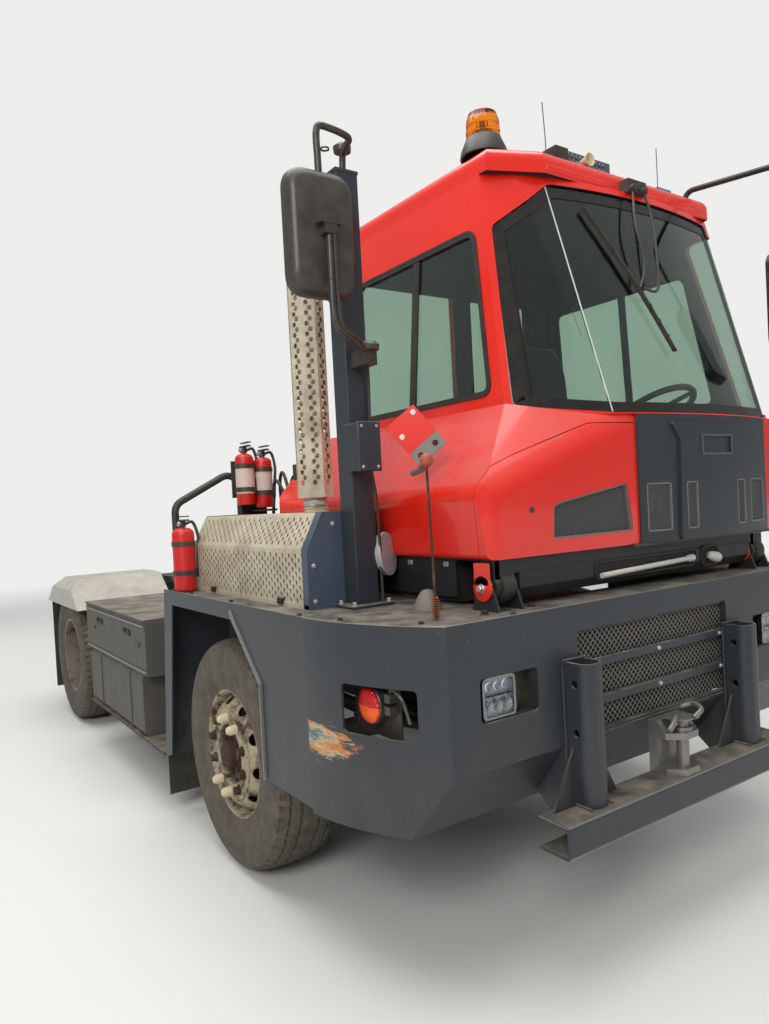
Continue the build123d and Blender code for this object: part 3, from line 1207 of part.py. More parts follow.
def beacon():
    """Amber lens on a dark cone over the roof's right corner."""
    x, y = -190, FRONT_AXLE_Y - 800
    base = Pos(x, y, ROOF_TOP + 40) * Cone(105, 75, 80)
    return base + Pos(x, y, ROOF_TOP + 80 + 70) * Cylinder(70, 140)


def light_bar():
    """Long lamp on two feet over the roof's front edge."""
    y = FRONT_AXLE_Y - 900
    lamp = block(130, 480, y - 50, y, ROOF_TOP + 15, ROOF_TOP + 75)
    for x in (180, 420):
        lamp += block(x, x + 30, y - 40, y - 10, ROOF_TOP, ROOF_TOP + 15)
    return lamp


def mirror_left():
    """Left mirror on a curved arm from the roof's front corner."""
    y = FRONT_AXLE_Y - 930
    out_y = y - 480
    arm = tube([(1080, y, ROOF_TOP), (1080, y, ROOF_TOP + 60), (1110, out_y, ROOF_TOP + 20),
                (1110, out_y, 2690)], 14, 50)
    return arm + mirror_housing((1000, 2250), (1215, 2700), out_y - 60, out_y + 25)


def pieces():
    """Every node and its shape."""
    made = {
        "frame": frame(),
        "front_bumper": bumper() - corner_windows(),
        "front_lamps": headlights() + corner_lamps(),
        "grille": grille(),
        "push_beam": push_beam(),
        "tow_coupling": tow_coupling(),
        "front_deck": front_deck(),
        "deck_right": side_deck(),
        "deck_left": left(side_deck()),
        "mudflaps": mudflaps(),
        "battery_box": battery_box(),
        "fuel_tank": fuel_tank(),
        "hydraulic_tank": hydraulic_tank(),
        "steps": side_step() + entry_steps(),
        "rear_platform": rear_platform(),
        "exhaust_box": exhaust_box(),
        "exhaust": silencer(),
        "mirror_mast": mirror_mast(),
        "mirror_right": mirror_right(),
        "handrail": handrail(),
        "extinguishers": extinguishers(),
        "driveline": driveline(),
        "radiator": radiator(),
        "front_axle": front_axle(),
        "leaf_springs": leaf_springs(),
        "tie_rod": tie_rod(),
        "rear_axle": rear_axle(),
        "rear_fenders": rear_fenders(),
        "lift_boom": lift_boom(),
        "fifth_wheel": fifth_wheel(),
        "cylinder_barrels": cylinder_barrels(),
        "cylinder_rods": cylinder_rods(),
        "cab_mounts": cab_mounts(),
        "cab_beam": cab_beam(),
        "cab_body": cab_body() + hinge_leaves(HINGE_Z[0]),
        "cab_frame": cab_frame() + hinge_leaves(HINGE_Z[1]),
        "cab_roof": cab_roof(),
        "service_panel": service_panel(),
        "front_panel": front_panel(),
        "windscreen": windscreen(),
        "side_glass": side_glass(),
        "seat": seat(),
        "console": console(),
        "rear_door": door(),
        "door_glass": door_glass(),
        "wiper": wiper(),
        "beacon": beacon(),
        "light_bar": light_bar(),
        "mirror_left": mirror_left(),
    }
    mirrored = {
        "tyre_front": tyre(-WHEEL_X, FRONT_AXLE_Y),
        "rim_front": rim_front(),
        "knuckle": knuckle(),
        "tyres_rear": tyre(-WHEEL_X, REAR_AXLE_Y) + tyre(-INNER_X, REAR_AXLE_Y),
        "rims_rear": rim_rear(),
    }
    for name, shape in mirrored.items():
        made[name + "_right"] = shape
        made[name + "_left"] = left(shape)
    return made


os.makedirs("parts", exist_ok=True)
for node, shape in pieces().items():
    export_step(shape, f"parts/{node}.step")
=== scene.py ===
import math

import bmesh
import bpy
import numpy as np
from mathutils import Matrix, Vector


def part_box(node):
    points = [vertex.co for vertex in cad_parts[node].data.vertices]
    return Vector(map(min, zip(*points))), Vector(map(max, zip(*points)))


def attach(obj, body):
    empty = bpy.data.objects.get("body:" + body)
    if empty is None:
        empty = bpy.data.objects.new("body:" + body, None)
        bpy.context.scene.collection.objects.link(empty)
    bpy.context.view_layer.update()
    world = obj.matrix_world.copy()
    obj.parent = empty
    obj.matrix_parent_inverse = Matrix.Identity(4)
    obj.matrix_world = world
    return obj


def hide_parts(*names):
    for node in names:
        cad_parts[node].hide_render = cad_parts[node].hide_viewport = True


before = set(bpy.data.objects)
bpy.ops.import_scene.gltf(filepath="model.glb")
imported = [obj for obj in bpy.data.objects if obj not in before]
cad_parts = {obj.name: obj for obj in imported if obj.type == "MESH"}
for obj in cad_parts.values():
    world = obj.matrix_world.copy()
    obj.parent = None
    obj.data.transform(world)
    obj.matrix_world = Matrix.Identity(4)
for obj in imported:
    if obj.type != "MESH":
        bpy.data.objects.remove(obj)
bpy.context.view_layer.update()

# Camera and studio. The tractor stands on a plain pale floor in soft light, seen from a standing person's
# eye height beside its right front corner, as in the photograph.
EYE = np.array([-2.481, -4.472, 1.632])
YAW, PITCH, ROLL = 0.60483, -0.02181, -0.05265
PICTURE = (769, 1024)
FOCAL_PIXELS = 750.24
OPTICAL_CENTRE = (391.03, 518.64)
SENSOR = 36.0

ahead = np.array([math.sin(YAW) * math.cos(PITCH), math.cos(YAW) * math.cos(PITCH), math.sin(PITCH)])
level_right = np.array([math.cos(YAW), -math.sin(YAW), 0])
level_up = np.cross(level_right, ahead)
right = level_right * math.cos(ROLL) + level_up * math.sin(ROLL)
up = level_up * math.cos(ROLL) - level_right * math.sin(ROLL)
lens = bpy.data.cameras.new("photo_camera")
lens.sensor_width = SENSOR
lens.lens = FOCAL_PIXELS / PICTURE[1] * SENSOR
lens.shift_x = (PICTURE[0] / 2 - OPTICAL_CENTRE[0]) / PICTURE[1]
lens.shift_y = (OPTICAL_CENTRE[1] - PICTURE[1] / 2) / PICTURE[1]
lens.clip_end = 200
camera = bpy.data.objects.new("photo_camera", lens)
bpy.context.scene.collection.objects.link(camera)
place = np.eye(4)
place[:3, 0], place[:3, 1], place[:3, 2], place[:3, 3] = right, up, -ahead, EYE
camera.matrix_world = Matrix(place.tolist())
bpy.context.scene.camera = camera
bpy.context.scene.view_settings.view_transform = "Standard"

FLOOR_COLOUR = "d9d8d4"
FLOOR_HALF = 60.0
BACKDROP_COLOUR = "eeeeec"
BACKDROP_STRENGTH = 1.0
SKY_STRENGTH = 0.55


def linear(colour):
    """Linear colour of an sRGB hex value: each channel c becomes ((c + 0.055) / 1.055) to the power 2.4,
    or c / 12.92 near black."""
    channels = np.array([int(colour[i:i + 2], 16) for i in (0, 2, 4)]) / 255
    curved = ((channels + 0.055) / 1.055) ** 2.4
    return (*np.where(channels <= 0.04045, channels / 12.92, curved), 1.0)


def join(tree, node, inputs):
    """Gives inputs of a node their constants, or links from the sockets of other nodes."""
    for name, value in inputs.items():
        if isinstance(value, bpy.types.NodeSocket):
            tree.links.new(value, node.inputs[name])
        else:
            node.inputs[name].default_value = value


def add(tree, kind, inputs=None, out=0, **settings):
    """Adds one shader node with its settings and inputs, and returns one of its output sockets."""
    made = tree.nodes.new("ShaderNode" + kind)
    for name, value in settings.items():
        setattr(made, name, value)
    join(tree, made, inputs or {})
    return made.outputs[out]


def parts_of(material):
    """Node tree of a material, its shader, and the socket of Object coordinates that its patterns follow."""
    tree = material.node_tree
    return tree, tree.nodes["Principled BSDF"], add(tree, "TexCoord", out="Object")


def surface(name):
    """New material with its parts."""
    material = bpy.data.materials.new(name)
    material.use_nodes = True
    return material, *parts_of(material)


def floor_material():
    """Pale matt floor that fades into the white backdrop from 6 m to 16 m away."""
    material, tree, shader, here = surface("matt_studio_floor")
    join(tree, shader, {"Base Color": linear(FLOOR_COLOUR), "Roughness": 0.9})
    away = add(tree, "VectorMath", {0: here}, "Value", operation="LENGTH")
    fade = add(tree, "MapRange", {"Value": away, "From Min": 6.0, "From Max": 16.0})
    glow = add(tree, "Emission", {"Color": linear(BACKDROP_COLOUR), "Strength": BACKDROP_STRENGTH})
    both = add(tree, "MixShader", {0: fade, 1: shader.outputs["BSDF"], 2: glow})
    join(tree, tree.nodes["Material Output"], {"Surface": both})
    return material


floor_mesh = bpy.data.meshes.new("studio_floor")
corners = [(x * FLOOR_HALF, y * FLOOR_HALF, -0.001) for x, y in ((-1, -1), (1, -1), (1, 1), (-1, 1))]
floor_mesh.from_pydata(corners, [], [(0, 1, 2, 3)])
floor_mesh.materials.append(floor_material())
floor = bpy.data.objects.new("studio_floor", floor_mesh)
bpy.context.scene.collection.objects.link(floor)

world = bpy.data.worlds.new("studio")
bpy.context.scene.world = world
world.use_nodes = True
sky = world.node_tree
sky.nodes.clear()
seen_rays = [add(sky, "LightPath", out=ray) for ray in ("Is Camera Ray", "Is Transmission Ray")]
seen = add(sky, "Math", dict(enumerate(seen_rays)), operation="MAXIMUM")
height = add(sky, "SeparateXYZ", {"Vector": add(sky, "TexCoord", out="Generated")}, "Z")
glow = add(sky, "MapRange", {"Value": height, "From Min": -0.1, "From Max": 0.9, "To Min": 0.35, "To Max": 1.0})
backdrop = add(sky, "Background", {"Color": linear(BACKDROP_COLOUR), "Strength": BACKDROP_STRENGTH})
light = add(sky, "Math", {0: glow, 1: SKY_STRENGTH}, operation="MULTIPLY")
fill = add(sky, "Background", {"Color": linear("f2f4f7"), "Strength": light})
either = add(sky, "MixShader", {0: seen, 1: fill, 2: backdrop})
join(sky, sky.nodes.new("ShaderNodeOutputWorld"), {"Surface": either})

# Soft boxes: name, centre, size, power in watts. Long lamps overhead give the long streaks in the cab's paint.
SOFT_BOXES = (
    ("front_right_lamp", (-6.5, -7.0, 5.5), (4.0, 3.0), 420),
    ("overhead_lamp", (-1.0, -1.0, 7.5), (6.0, 6.0), 420),
    ("left_lamp", (7.0, -5.0, 4.5), (3.0, 3.0), 200),
    ("rear_lamp", (-3.0, 8.0, 5.0), (4.0, 3.0), 200),
)
LIT_MIDDLE = (0, -0.5, 1.2)
for lamp_name, centre, size, power in SOFT_BOXES:
    area = bpy.data.lights.new(lamp_name, "AREA")
    area.shape = "RECTANGLE"
    area.size, area.size_y = size
    area.energy = power
    lamp = bpy.data.objects.new(lamp_name, area)
    bpy.context.scene.collection.objects.link(lamp)
    lamp.location = centre
    lamp.visible_camera = lamp.visible_transmission = False
    lamp.visible_glossy = lamp_name not in ("rear_lamp", "left_lamp")
    aim = Vector(centre) - Vector(LIT_MIDDLE)
    lamp.rotation_euler = aim.to_track_quat("Z", "Y").to_euler()


# Chassis steel: the frame, the bumper, the decks and the boxes are welded plate under slate enamel. The enamel is
# satin, dusty on every top, splashed brown near the road, and chipped to the grey primer along its edges.
SLATE = "272b30"
RED = "c91d0b"
DUST = "8d8373"
ROAD_SPLASH = "5e5548"
PRIMER = "7d7a73"
DUST_GRAIN = 9.0
CHIP_GRAIN = 85.0


def enamel(name, colour, gloss, dust, chips=0.62, splash_top=0.9, coat=0.0):
    """Enamel over steel. Dust gathers where the surface faces up, road splash fades out with height, and chips
    are the peaks of a fine noise. Roughness follows the dust."""
    material, tree, shader, here = surface(name)
    upright = add(tree, "SeparateXYZ", {"Vector": here.node.outputs["Normal"]}, "Z")
    upward = add(tree, "MapRange", {"Value": upright, "From Min": 0.25, "From Max": 0.95})
    blotch = add(tree, "TexNoise", {"Vector": here, "Scale": DUST_GRAIN, "Detail": 7.0, "Roughness": 0.62})
    patch = add(tree, "MapRange", {"Value": blotch, "From Min": 0.3, "From Max": 0.7})
    settled = add(tree, "Math", {0: upward, 1: patch}, operation="MULTIPLY")
    dusted = add(tree, "Math", {0: settled, 1: dust}, operation="MULTIPLY", use_clamp=True)
    height = add(tree, "SeparateXYZ", {"Vector": here}, "Z")
    low = add(tree, "MapRange", {"Value": height, "From Min": 0.15, "From Max": splash_top, "To Min": 0.75,
                                 "To Max": 0.0})
    streaks = add(tree, "Mapping", {"Vector": here, "Scale": (14, 14, 3)})
    run = add(tree, "TexNoise", {"Vector": streaks, "Scale": 1.0, "Detail": 6.0, "Roughness": 0.7})
    splash = add(tree, "MapRange", {"Value": run, "From Min": 0.42, "From Max": 0.72})
    splashed = add(tree, "Math", {0: splash, 1: low}, operation="MULTIPLY", use_clamp=True)
    flecks = add(tree, "TexNoise", {"Vector": here, "Scale": CHIP_GRAIN, "Detail": 2.0})
    chipped = add(tree, "MapRange", {"Value": flecks, "From Min": chips + 0.14, "From Max": chips + 0.17})
    tone = add(tree, "TexNoise", {"Vector": here, "Scale": 1.7, "Detail": 3.0})
    base = linear(colour)
    faded = [min(1.0, channel * 1.35 + 0.004) for channel in base[:3]] + [1.0]
    cover = add(tree, "Mix", {0: tone, 6: base, 7: faded}, 2, data_type="RGBA")
    for share, over in ((dusted, DUST), (splashed, ROAD_SPLASH), (chipped, PRIMER)):
        cover = add(tree, "Mix", {0: share, 6: cover, 7: linear(over)}, 2, data_type="RGBA")
    soiled = add(tree, "Math", {0: dusted, 1: splashed}, operation="MAXIMUM")
    dulled = add(tree, "MapRange", {"Value": soiled, "To Min": gloss, "To Max": 0.85})
    rubbed = add(tree, "Math", {0: tone, 1: 0.12, 2: dulled}, operation="MULTIPLY_ADD")
    peel = add(tree, "TexNoise", {"Vector": here, "Scale": 220.0, "Detail": 1.0})
    relief = add(tree, "Math", {0: peel, 1: chipped}, operation="SUBTRACT")
    bump = add(tree, "Bump", {"Height": relief, "Strength": 0.12, "Distance": 0.001})
    join(tree, shader, {"Base Color": cover, "Roughness": rubbed, "Normal": bump, "Coat Weight": coat,
                        "Coat Roughness": 0.06})
    return material


def finish(material, *nodes):
    """Gives CAD nodes their material."""
    for node in nodes:
        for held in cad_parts[node].material_slots:
            held.material = material


slate_enamel = enamel("slate_enamel_on_plate", SLATE, 0.34, 0.9)
finish(slate_enamel, "frame", "push_beam", "front_deck", "deck_right", "deck_left",
       "hydraulic_tank", "rear_platform", "front_panel")
cab_enamel = enamel("signal_red_cab_enamel", RED, 0.2, 0.3, chips=0.66, splash_top=0.2, coat=0.5)
finish(cab_enamel, "service_panel")

# Tyres: radial tyres, 310 mm wide, on 22.5 inch discs. The rubber is moulded: a plain sidewall with fine rings, a
# square shoulder, and a ribbed tread with slots. It is dusty, and browner on the sidewall.
AXLE_Y = -1.22
TYRE_TURNS = 360
TREAD_DEPTH = 0.011
BEAD_R, WIDEST_R, TREAD_R = 0.287, 0.405, 0.49


def grid_faces(rows, columns, wrap_rows=False, wrap_columns=False):
    """Quads between the points of a grid with that many rows and columns, numbered row by row."""
    row, column = np.meshgrid(np.arange(rows - (not wrap_rows)), np.arange(columns - (not wrap_columns)),
                              indexing="ij")
    down, along = (row + 1) % rows, (column + 1) % columns
    return np.stack([row * columns + column, row * columns + along, down * columns + along, down * columns + column],
                    axis=-1).reshape(-1, 4)


def joined(shapes):
    """One shape out of several. A shape is (points, list of face arrays)."""
    starts = np.cumsum([0] + [len(points) for points, _ in shapes])
    faces = [array + start for (_, arrays), start in zip(shapes, starts) for array in arrays]
    return np.concatenate([points for points, _ in shapes]), faces


def piece(name, shape, material, body, stands_for=(), bevel=0.0, angle=0.6):
    """Mesh object from a shape or a list of shapes, closed at its poles, facing outwards and smooth up to
    angle. It rides on a body and stands for its CAD nodes."""
    points, arrays = joined(shape) if isinstance(shape, list) else shape
    mesh = bpy.data.meshes.new(name)
    mesh.vertices.add(len(points))
    mesh.vertices.foreach_set("co", points.astype(np.float32).ravel())
    mesh.loops.add(sum(array.size for array in arrays))
    mesh.loops.foreach_set("vertex_index", np.concatenate([array.ravel() for array in arrays]).astype(np.int32))
    sides = np.concatenate([np.full(len(array), array.shape[1]) for array in arrays])
    mesh.polygons.add(len(sides))
    mesh.polygons.foreach_set("loop_start", np.concatenate([[0], np.cumsum(sides)[:-1]]).astype(np.int32))
    mesh.update(calc_edges=True)
    mesh.validate()
    cleaned = bmesh.new()
    cleaned.from_mesh(mesh)
    bmesh.ops.remove_doubles(cleaned, verts=cleaned.verts, dist=1e-6)
    bmesh.ops.recalc_face_normals(cleaned, faces=cleaned.faces)
    cleaned.to_mesh(mesh)
    cleaned.free()
    mesh.shade_smooth()
    mesh.set_sharp_from_angle(angle=angle)
    mesh.materials.append(material)
    made = bpy.data.objects.new(name, mesh)
    bpy.context.scene.collection.objects.link(made)
    if bevel:
        edge = made.modifiers.new("edge", "BEVEL")
        edge.width, edge.segments, edge.limit_method, edge.angle_limit = bevel, 2, "ANGLE", 0.6
    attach(made, body)
    if stands_for:
        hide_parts(*stands_for)
    return made


def tyre_shape(centre, radius, half):
    """Tyre about the X axis through centre. Across the section, (x / half) cubed and (height / reach) to the
    sixth power add up to one; rings stand out on the sidewall, and grooves and slots sink into the tread."""
    wall = np.linspace(-0.62, 0.52, 12)
    crown = np.linspace(0.56, np.pi / 2, 26)
    lift = np.concatenate([wall, crown])
    x = half * np.abs(np.cos(lift)) ** (2 / 3)
    reach = np.where(lift > 0, radius - WIDEST_R, WIDEST_R - BEAD_R)
    r = WIDEST_R + reach * np.sign(lift) * np.abs(np.sin(lift)) ** np.where(lift > 0, 1 / 3, 0.75)
    r[0], x[0] = 0.2866, half * 0.84
    rings = 0.0022 * (np.exp(-((r - 0.352) / 0.004) ** 2) + np.exp(-((r - 0.462) / 0.005) ** 2))
    x = x + rings
    x = np.concatenate([x, -x[::-1][1:]])
    r = np.concatenate([r, r[::-1][1:]])
    turn = np.linspace(0, 2 * np.pi, TYRE_TURNS, endpoint=False)[:, None]
    across = np.abs(x / half)[None, :]
    zigzag = 0.02 * np.sign(np.sin(turn * 60)) + 0 * across
    rib = np.exp(-((across - 0.28 - zigzag) / 0.035) ** 4) + np.exp(-((across - 0.62 - zigzag) / 0.03) ** 4)
    slot = (across > 0.72) * (across < 0.9) * (np.sin(turn * 60 + 1.5) > 0.55)
    groove = np.clip(rib + slot, 0, 1) * (r > TREAD_R)[None, :]
    depth = r[None, :] - TREAD_DEPTH * groove
    points = np.stack([np.broadcast_to(centre[0] + x, depth.shape), centre[1] + depth * np.cos(turn),
                       centre[2] + depth * np.sin(turn)], axis=-1)
    return points.reshape(-1, 3), [grid_faces(TYRE_TURNS, len(x), wrap_rows=True)[:, ::-1]]


def rubber(name, colour, dust, roughness=0.78):
    """Rubber: near black, with pale dust in broad blotches and a fine grain in the surface."""
    material, tree, shader, here = surface(name)
    cloud = add(tree, "TexNoise", {"Vector": here, "Scale": 14.0, "Detail": 9.0, "Roughness": 0.75})
    amount = add(tree, "MapRange", {"Value": cloud, "From Min": 0.2, "From Max": 0.85, "To Max": dust})
    mixed = add(tree, "Mix", {0: amount, 6: linear(colour), 7: linear("857a67")}, 2, data_type="RGBA")
    grain = add(tree, "TexNoise", {"Vector": here, "Scale": 160.0, "Detail": 3.0})
    bump = add(tree, "Bump", {"Height": grain, "Strength": 0.25, "Distance": 0.001})
    join(tree, shader, {"Base Color": mixed, "Roughness": roughness, "Normal": bump})
    return material


tyre_rubber = rubber("dusty_tyre_rubber", "2b2a28", 0.62)
black_rubber = rubber("black_moulded_rubber", "161616", 0.25, 0.6)
for side_name in ("right", "left"):
    low, high = map(np.array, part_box("tyre_front_" + side_name))
    half = (high[0] - low[0]) / 2
    shape = tyre_shape((low + high) / 2, (high[2] - low[2]) / 2, half)
    piece("tread_tyre_front_" + side_name, shape, tyre_rubber, "wheel_front_" + side_name,
          ["tyre_front_" + side_name])
    low, high = map(np.array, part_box("tyres_rear_" + side_name))
    middle = (low + high) / 2
    gap = (high[0] - low[0]) / 2 - half
    pair = [tyre_shape(middle + np.array([offset, 0, 0]), (high[2] - low[2]) / 2, half) for offset in (-gap, gap)]
    piece("tread_tyres_rear_" + side_name, pair, tyre_rubber, "wheels_rear_" + side_name, ["tyres_rear_" + side_name])


# Wheels: pressed steel discs under cream paint gone rusty, on the front axle, and grey-brown ones at the rear. Each
# disc has ten studs; hexagon nuts sit on them, and four of the front nuts carry cream caps.
STUD_RING = 0.168
STUD_COUNT = 10
VENT_COUNT = 10
HALF_WIDTH = 1.24
NUT_LENGTH = 0.040
CAPPED_NUTS = (2, 3, 7, 8)
UP, TO_LEFT, TO_RIGHT, TO_REAR, TO_FRONT = (0, 0, 1), (1, 0, 0), (-1, 0, 0), (0, 1, 0), (0, -1, 0)


def lathe(profile, centre, axis, count=32):
    """Profile of (place along the axis, radius) pairs turned about an axis through centre, in count steps."""
    axis = np.array(axis, float) / np.linalg.norm(axis)
    across = np.cross(axis, [0, 0, 1] if abs(axis[2]) < 0.9 else [1, 0, 0])
    across /= np.linalg.norm(across)
    other = np.cross(axis, across)
    turn = (np.arange(count) / count * 2 * np.pi)[:, None, None]
    along, radius = np.array(profile, float).T
    around = np.cos(turn) * across + np.sin(turn) * other
    points = np.array(centre, float) + along[None, :, None] * axis + radius[None, :, None] * around
    return points.reshape(-1, 3), [grid_faces(count, len(along), wrap_rows=True)]


def hex_nut(centre, axis, width, height):
    """Hexagon nut or bolt head on a washer."""
    head = [(0, 0), (0, width * 0.72), (height * 0.14, width * 0.72), (height * 0.14, 0)]
    hexagon = [(height * 0.14, 0), (height * 0.14, width * 0.56), (height * 0.9, width * 0.56), (height, width * 0.5),
               (height, 0)]
    return joined([lathe(head, centre, axis, 16), lathe(hexagon, centre, axis, 6)])


def worn_paint(name, paint, rust, share, roughness=0.55):
    """Old paint over steel: rust shows through where a rough noise rises above share."""
    material, tree, shader, here = surface(name)
    spread = add(tree, "TexNoise", {"Vector": here, "Scale": 11.0, "Detail": 9.0, "Roughness": 0.7})
    rusty = add(tree, "MapRange", {"Value": spread, "From Min": share, "From Max": share + 0.12})
    fine = add(tree, "TexNoise", {"Vector": here, "Scale": 70.0, "Detail": 6.0})
    shade = add(tree, "Mix", {0: fine, 6: linear(rust), 7: linear("2c2019")}, 2, data_type="RGBA")
    cover = add(tree, "Mix", {0: rusty, 6: linear(paint), 7: shade}, 2, data_type="RGBA")
    rough = add(tree, "MapRange", {"Value": rusty, "To Min": roughness, "To Max": 0.92})
    bump = add(tree, "Bump", {"Height": rusty, "Strength": 0.3, "Distance": 0.001})
    join(tree, shader, {"Base Color": cover, "Roughness": rough, "Normal": bump})
    return material


def wheel_disc(centre, out, face_x, lip_x):
    """Front disc wheel: rim, cone with oval vents, flat stud ring and bore. A vent's sector is a square with an oval
    in it, from (u, v) in the square; u runs round the wheel, and v runs down the cone from the ring to the rim."""
    around = np.linspace(0, 2 * np.pi, 33)[:-1] + np.pi / 4
    square = np.stack([np.cos(around), np.sin(around)], axis=-1)
    square /= np.abs(square).max(axis=1, keepdims=True)
    oval = np.stack([0.36 * np.cos(around), 0.72 * np.sin(around)], axis=-1)
    share = np.linspace(0, 1, 5)[:, None, None]
    grid = (oval * (1 - share) + square * share).reshape(-1, 2)
    drop = face_x - lip_x + out * 0.045
    sectors = []
    for vent in range(VENT_COUNT):
        angle = (vent + grid[:, 0] / 2 + 0.25) / VENT_COUNT * 2 * np.pi
        down = (grid[:, 1] + 1) / 2
        radius = 0.210 + 0.053 * down ** 0.8
        along = face_x - out * 0.010 - (drop - out * 0.010) * down ** 1.25
        sectors.append((np.stack([along, centre[1] + radius * np.cos(angle), centre[2] + radius * np.sin(angle)],
                                 axis=-1),
                        [grid_faces(5, len(around), wrap_columns=True)]))
    place = (0, centre[1], centre[2])
    ring = [(face_x - out * 0.010, 0.210), (face_x - out * 0.003, 0.206), (face_x, 0.199), (face_x, 0.140),
            (face_x - out * 0.006, 0.134), (face_x - out * 0.05, 0.133)]
    rim = [(face_x - drop, 0.263), (lip_x - out * 0.035, 0.268), (lip_x - out * 0.008, 0.276), (lip_x, 0.281),
           (lip_x + out * 0.003, 0.289),
           (lip_x - out * 0.003, 0.294), (lip_x - out * 0.010, 0.288), (lip_x - out * 0.240, 0.288),
           (lip_x - out * 0.247, 0.294),
           (lip_x - out * 0.253, 0.289), (lip_x - out * 0.248, 0.280), (lip_x - out * 0.225, 0.266),
           (lip_x - out * 0.05, 0.262)]
    turned = [lathe([(place_x * out, radius) for place_x, radius in profile], place, (out, 0, 0), 120)
              for profile in (ring, rim)]
    return joined([*sectors, *turned])


cream_paint = worn_paint("cream_wheel_paint", "9c8f77", "5a4434", 0.47)
grey_wheel_paint = worn_paint("grey_wheel_paint", "6d655a", "43342a", 0.52)
rusty_iron = worn_paint("rusty_iron", "5d4f43", "4a2f20", 0.35, 0.7)
cap_plastic = worn_paint("cream_nut_caps", "c9bd96", "8a7a55", 0.62, 0.5)
finish(grey_wheel_paint, "rims_rear_right", "rims_rear_left")
for side_name, out in (("right", -1), ("left", 1)):
    low, high = map(np.array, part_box("rim_front_" + side_name))
    middle = (low + high) / 2
    face_x = out * (HALF_WIDTH - NUT_LENGTH)
    angles = (np.arange(STUD_COUNT) + 0.5) / STUD_COUNT * 2 * np.pi
    seats = np.stack([np.full(STUD_COUNT, face_x), middle[1] + STUD_RING * np.cos(angles),
                      middle[2] + STUD_RING * np.sin(angles)], axis=-1)
    disc = wheel_disc(middle, out, face_x, middle[0] + out * 0.120)
    wall = piece("wheel_disc_front_" + side_name, disc, cream_paint, "wheel_front_" + side_name,
                 ["rim_front_" + side_name])
    thick = wall.modifiers.new("plate", "SOLIDIFY")
    thick.thickness, thick.offset = 0.007, -1.0
    nuts = [hex_nut(seat, (out, 0, 0), 0.033, 0.026) for index, seat in enumerate(seats) if index not in CAPPED_NUTS]
    piece("wheel_nuts_front_" + side_name, nuts, rusty_iron, "wheel_front_" + side_name, angle=0.4)
    cap = [(0, 0.022), (0.03, 0.021), (0.044, 0.014), (0.047, 0)]
    caps = [lathe(cap, seats[index], (out, 0, 0), 16) for index in CAPPED_NUTS]
    piece("nut_caps_front_" + side_name, caps, cap_plastic, "wheel_front_" + side_name)
    hub_x = face_x - out * 0.02
    hub = lathe([(0, 0.06), (0, 0.112), (-0.006, 0.118), (-0.11, 0.118), (-0.115, 0.205), (-0.30, 0.205),
                 (-0.31, 0.06), (-0.31, 0.045),
                 (-0.30, 0.045), (0, 0.045)], (hub_x, middle[1], middle[2]), (out, 0, 0), 64)
    bolts = [hex_nut((hub_x, middle[1] + 0.085 * np.cos(a), middle[2] + 0.085 * np.sin(a)), (out, 0, 0), 0.02, 0.014)
             for a in np.arange(8) / 8 * 2 * np.pi]
    cover = lathe([(0, 0.064), (0.036, 0.060), (0.046, 0.047), (0.049, 0)],
                  (hub_x - out * 0.004, middle[1], middle[2]), (out, 0, 0))
    piece("hub_bolts_front_" + side_name, [*bolts, cover, hub], rusty_iron, "wheel_front_" + side_name, angle=0.4)
    low, high = map(np.array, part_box("rims_rear_" + side_name))
    middle = (low + high) / 2
    nuts = [hex_nut((middle[0] + out * 0.014, middle[1] + STUD_RING * np.cos(a), middle[2] + STUD_RING * np.sin(a)),
                    (out, 0, 0), 0.033, 0.026) for a in angles]
    piece("wheel_nuts_rear_" + side_name, nuts, rusty_iron, "wheels_rear_" + side_name, angle=0.4)


# Exhaust guard: a bent sheet of stainless, punched with staggered slanted slots, over the silencer on the right deck.
# A folded plate in slate enamel closes its front end, and the sheet has gone dull and beige with dust.
SLOT, SLOT_TURN = (0.0096, 0.0064), 1.15
HOLE_SIDES = 16
SHEET_T = 0.003
DECK_TOP = 1.228


def perforated(corner, along, up, columns, rows, hole, turn=0.0):
    """Sheet of columns by rows cells from corner, spanned by along and up. Every second cell, staggered, has an
    oval hole of half sizes hole, turned by turn: its sixteen points join those on the cell's own border."""
    corner, along, up = (np.array(value, float) for value in (corner, along, up))
    cell = np.array([np.linalg.norm(along) / columns, np.linalg.norm(up) / rows]) / 2
    angle = np.arange(HOLE_SIDES) / HOLE_SIDES * 2 * np.pi
    ray = np.stack([np.cos(angle), np.sin(angle)], axis=-1)
    border = ray / np.abs(ray).max(axis=1, keepdims=True) * cell
    oval = ray * np.array(hole)
    spin = np.array([[np.cos(turn), np.sin(turn)], [-np.sin(turn), np.cos(turn)]])
    oval = oval @ spin
    row, column = np.meshgrid(np.arange(rows), np.arange(columns), indexing="ij")
    punched = ((row + column) % 2 == 0) & (row > 0) & (row < rows - 1) & (column > 0) & (column < columns - 1)
    punched = punched.ravel()
    middle = np.stack([column.ravel() + 0.5, row.ravel() + 0.5], axis=-1) * cell * 2
    inner = np.where(punched[:, None, None], oval[None], 0.02 * border[None])
    flat = np.concatenate([middle[:, None] + border[None], middle[:, None] + inner], axis=1).reshape(-1, 2)
    along_unit, up_unit = along / np.linalg.norm(along), up / np.linalg.norm(up)
    points = corner + flat[:, :1] * along_unit + flat[:, 1:] * up_unit
    step = np.arange(HOLE_SIDES)
    after = (step + 1) % HOLE_SIDES
    ring = np.stack([step, after, after + HOLE_SIDES, step + HOLE_SIDES], axis=-1)
    starts = np.arange(len(middle)) * 2 * HOLE_SIDES
    closing = (step + HOLE_SIDES)[None, :]
    return points, [(starts[:, None, None] + ring).reshape(-1, 4), starts[~punched][:, None] + closing]


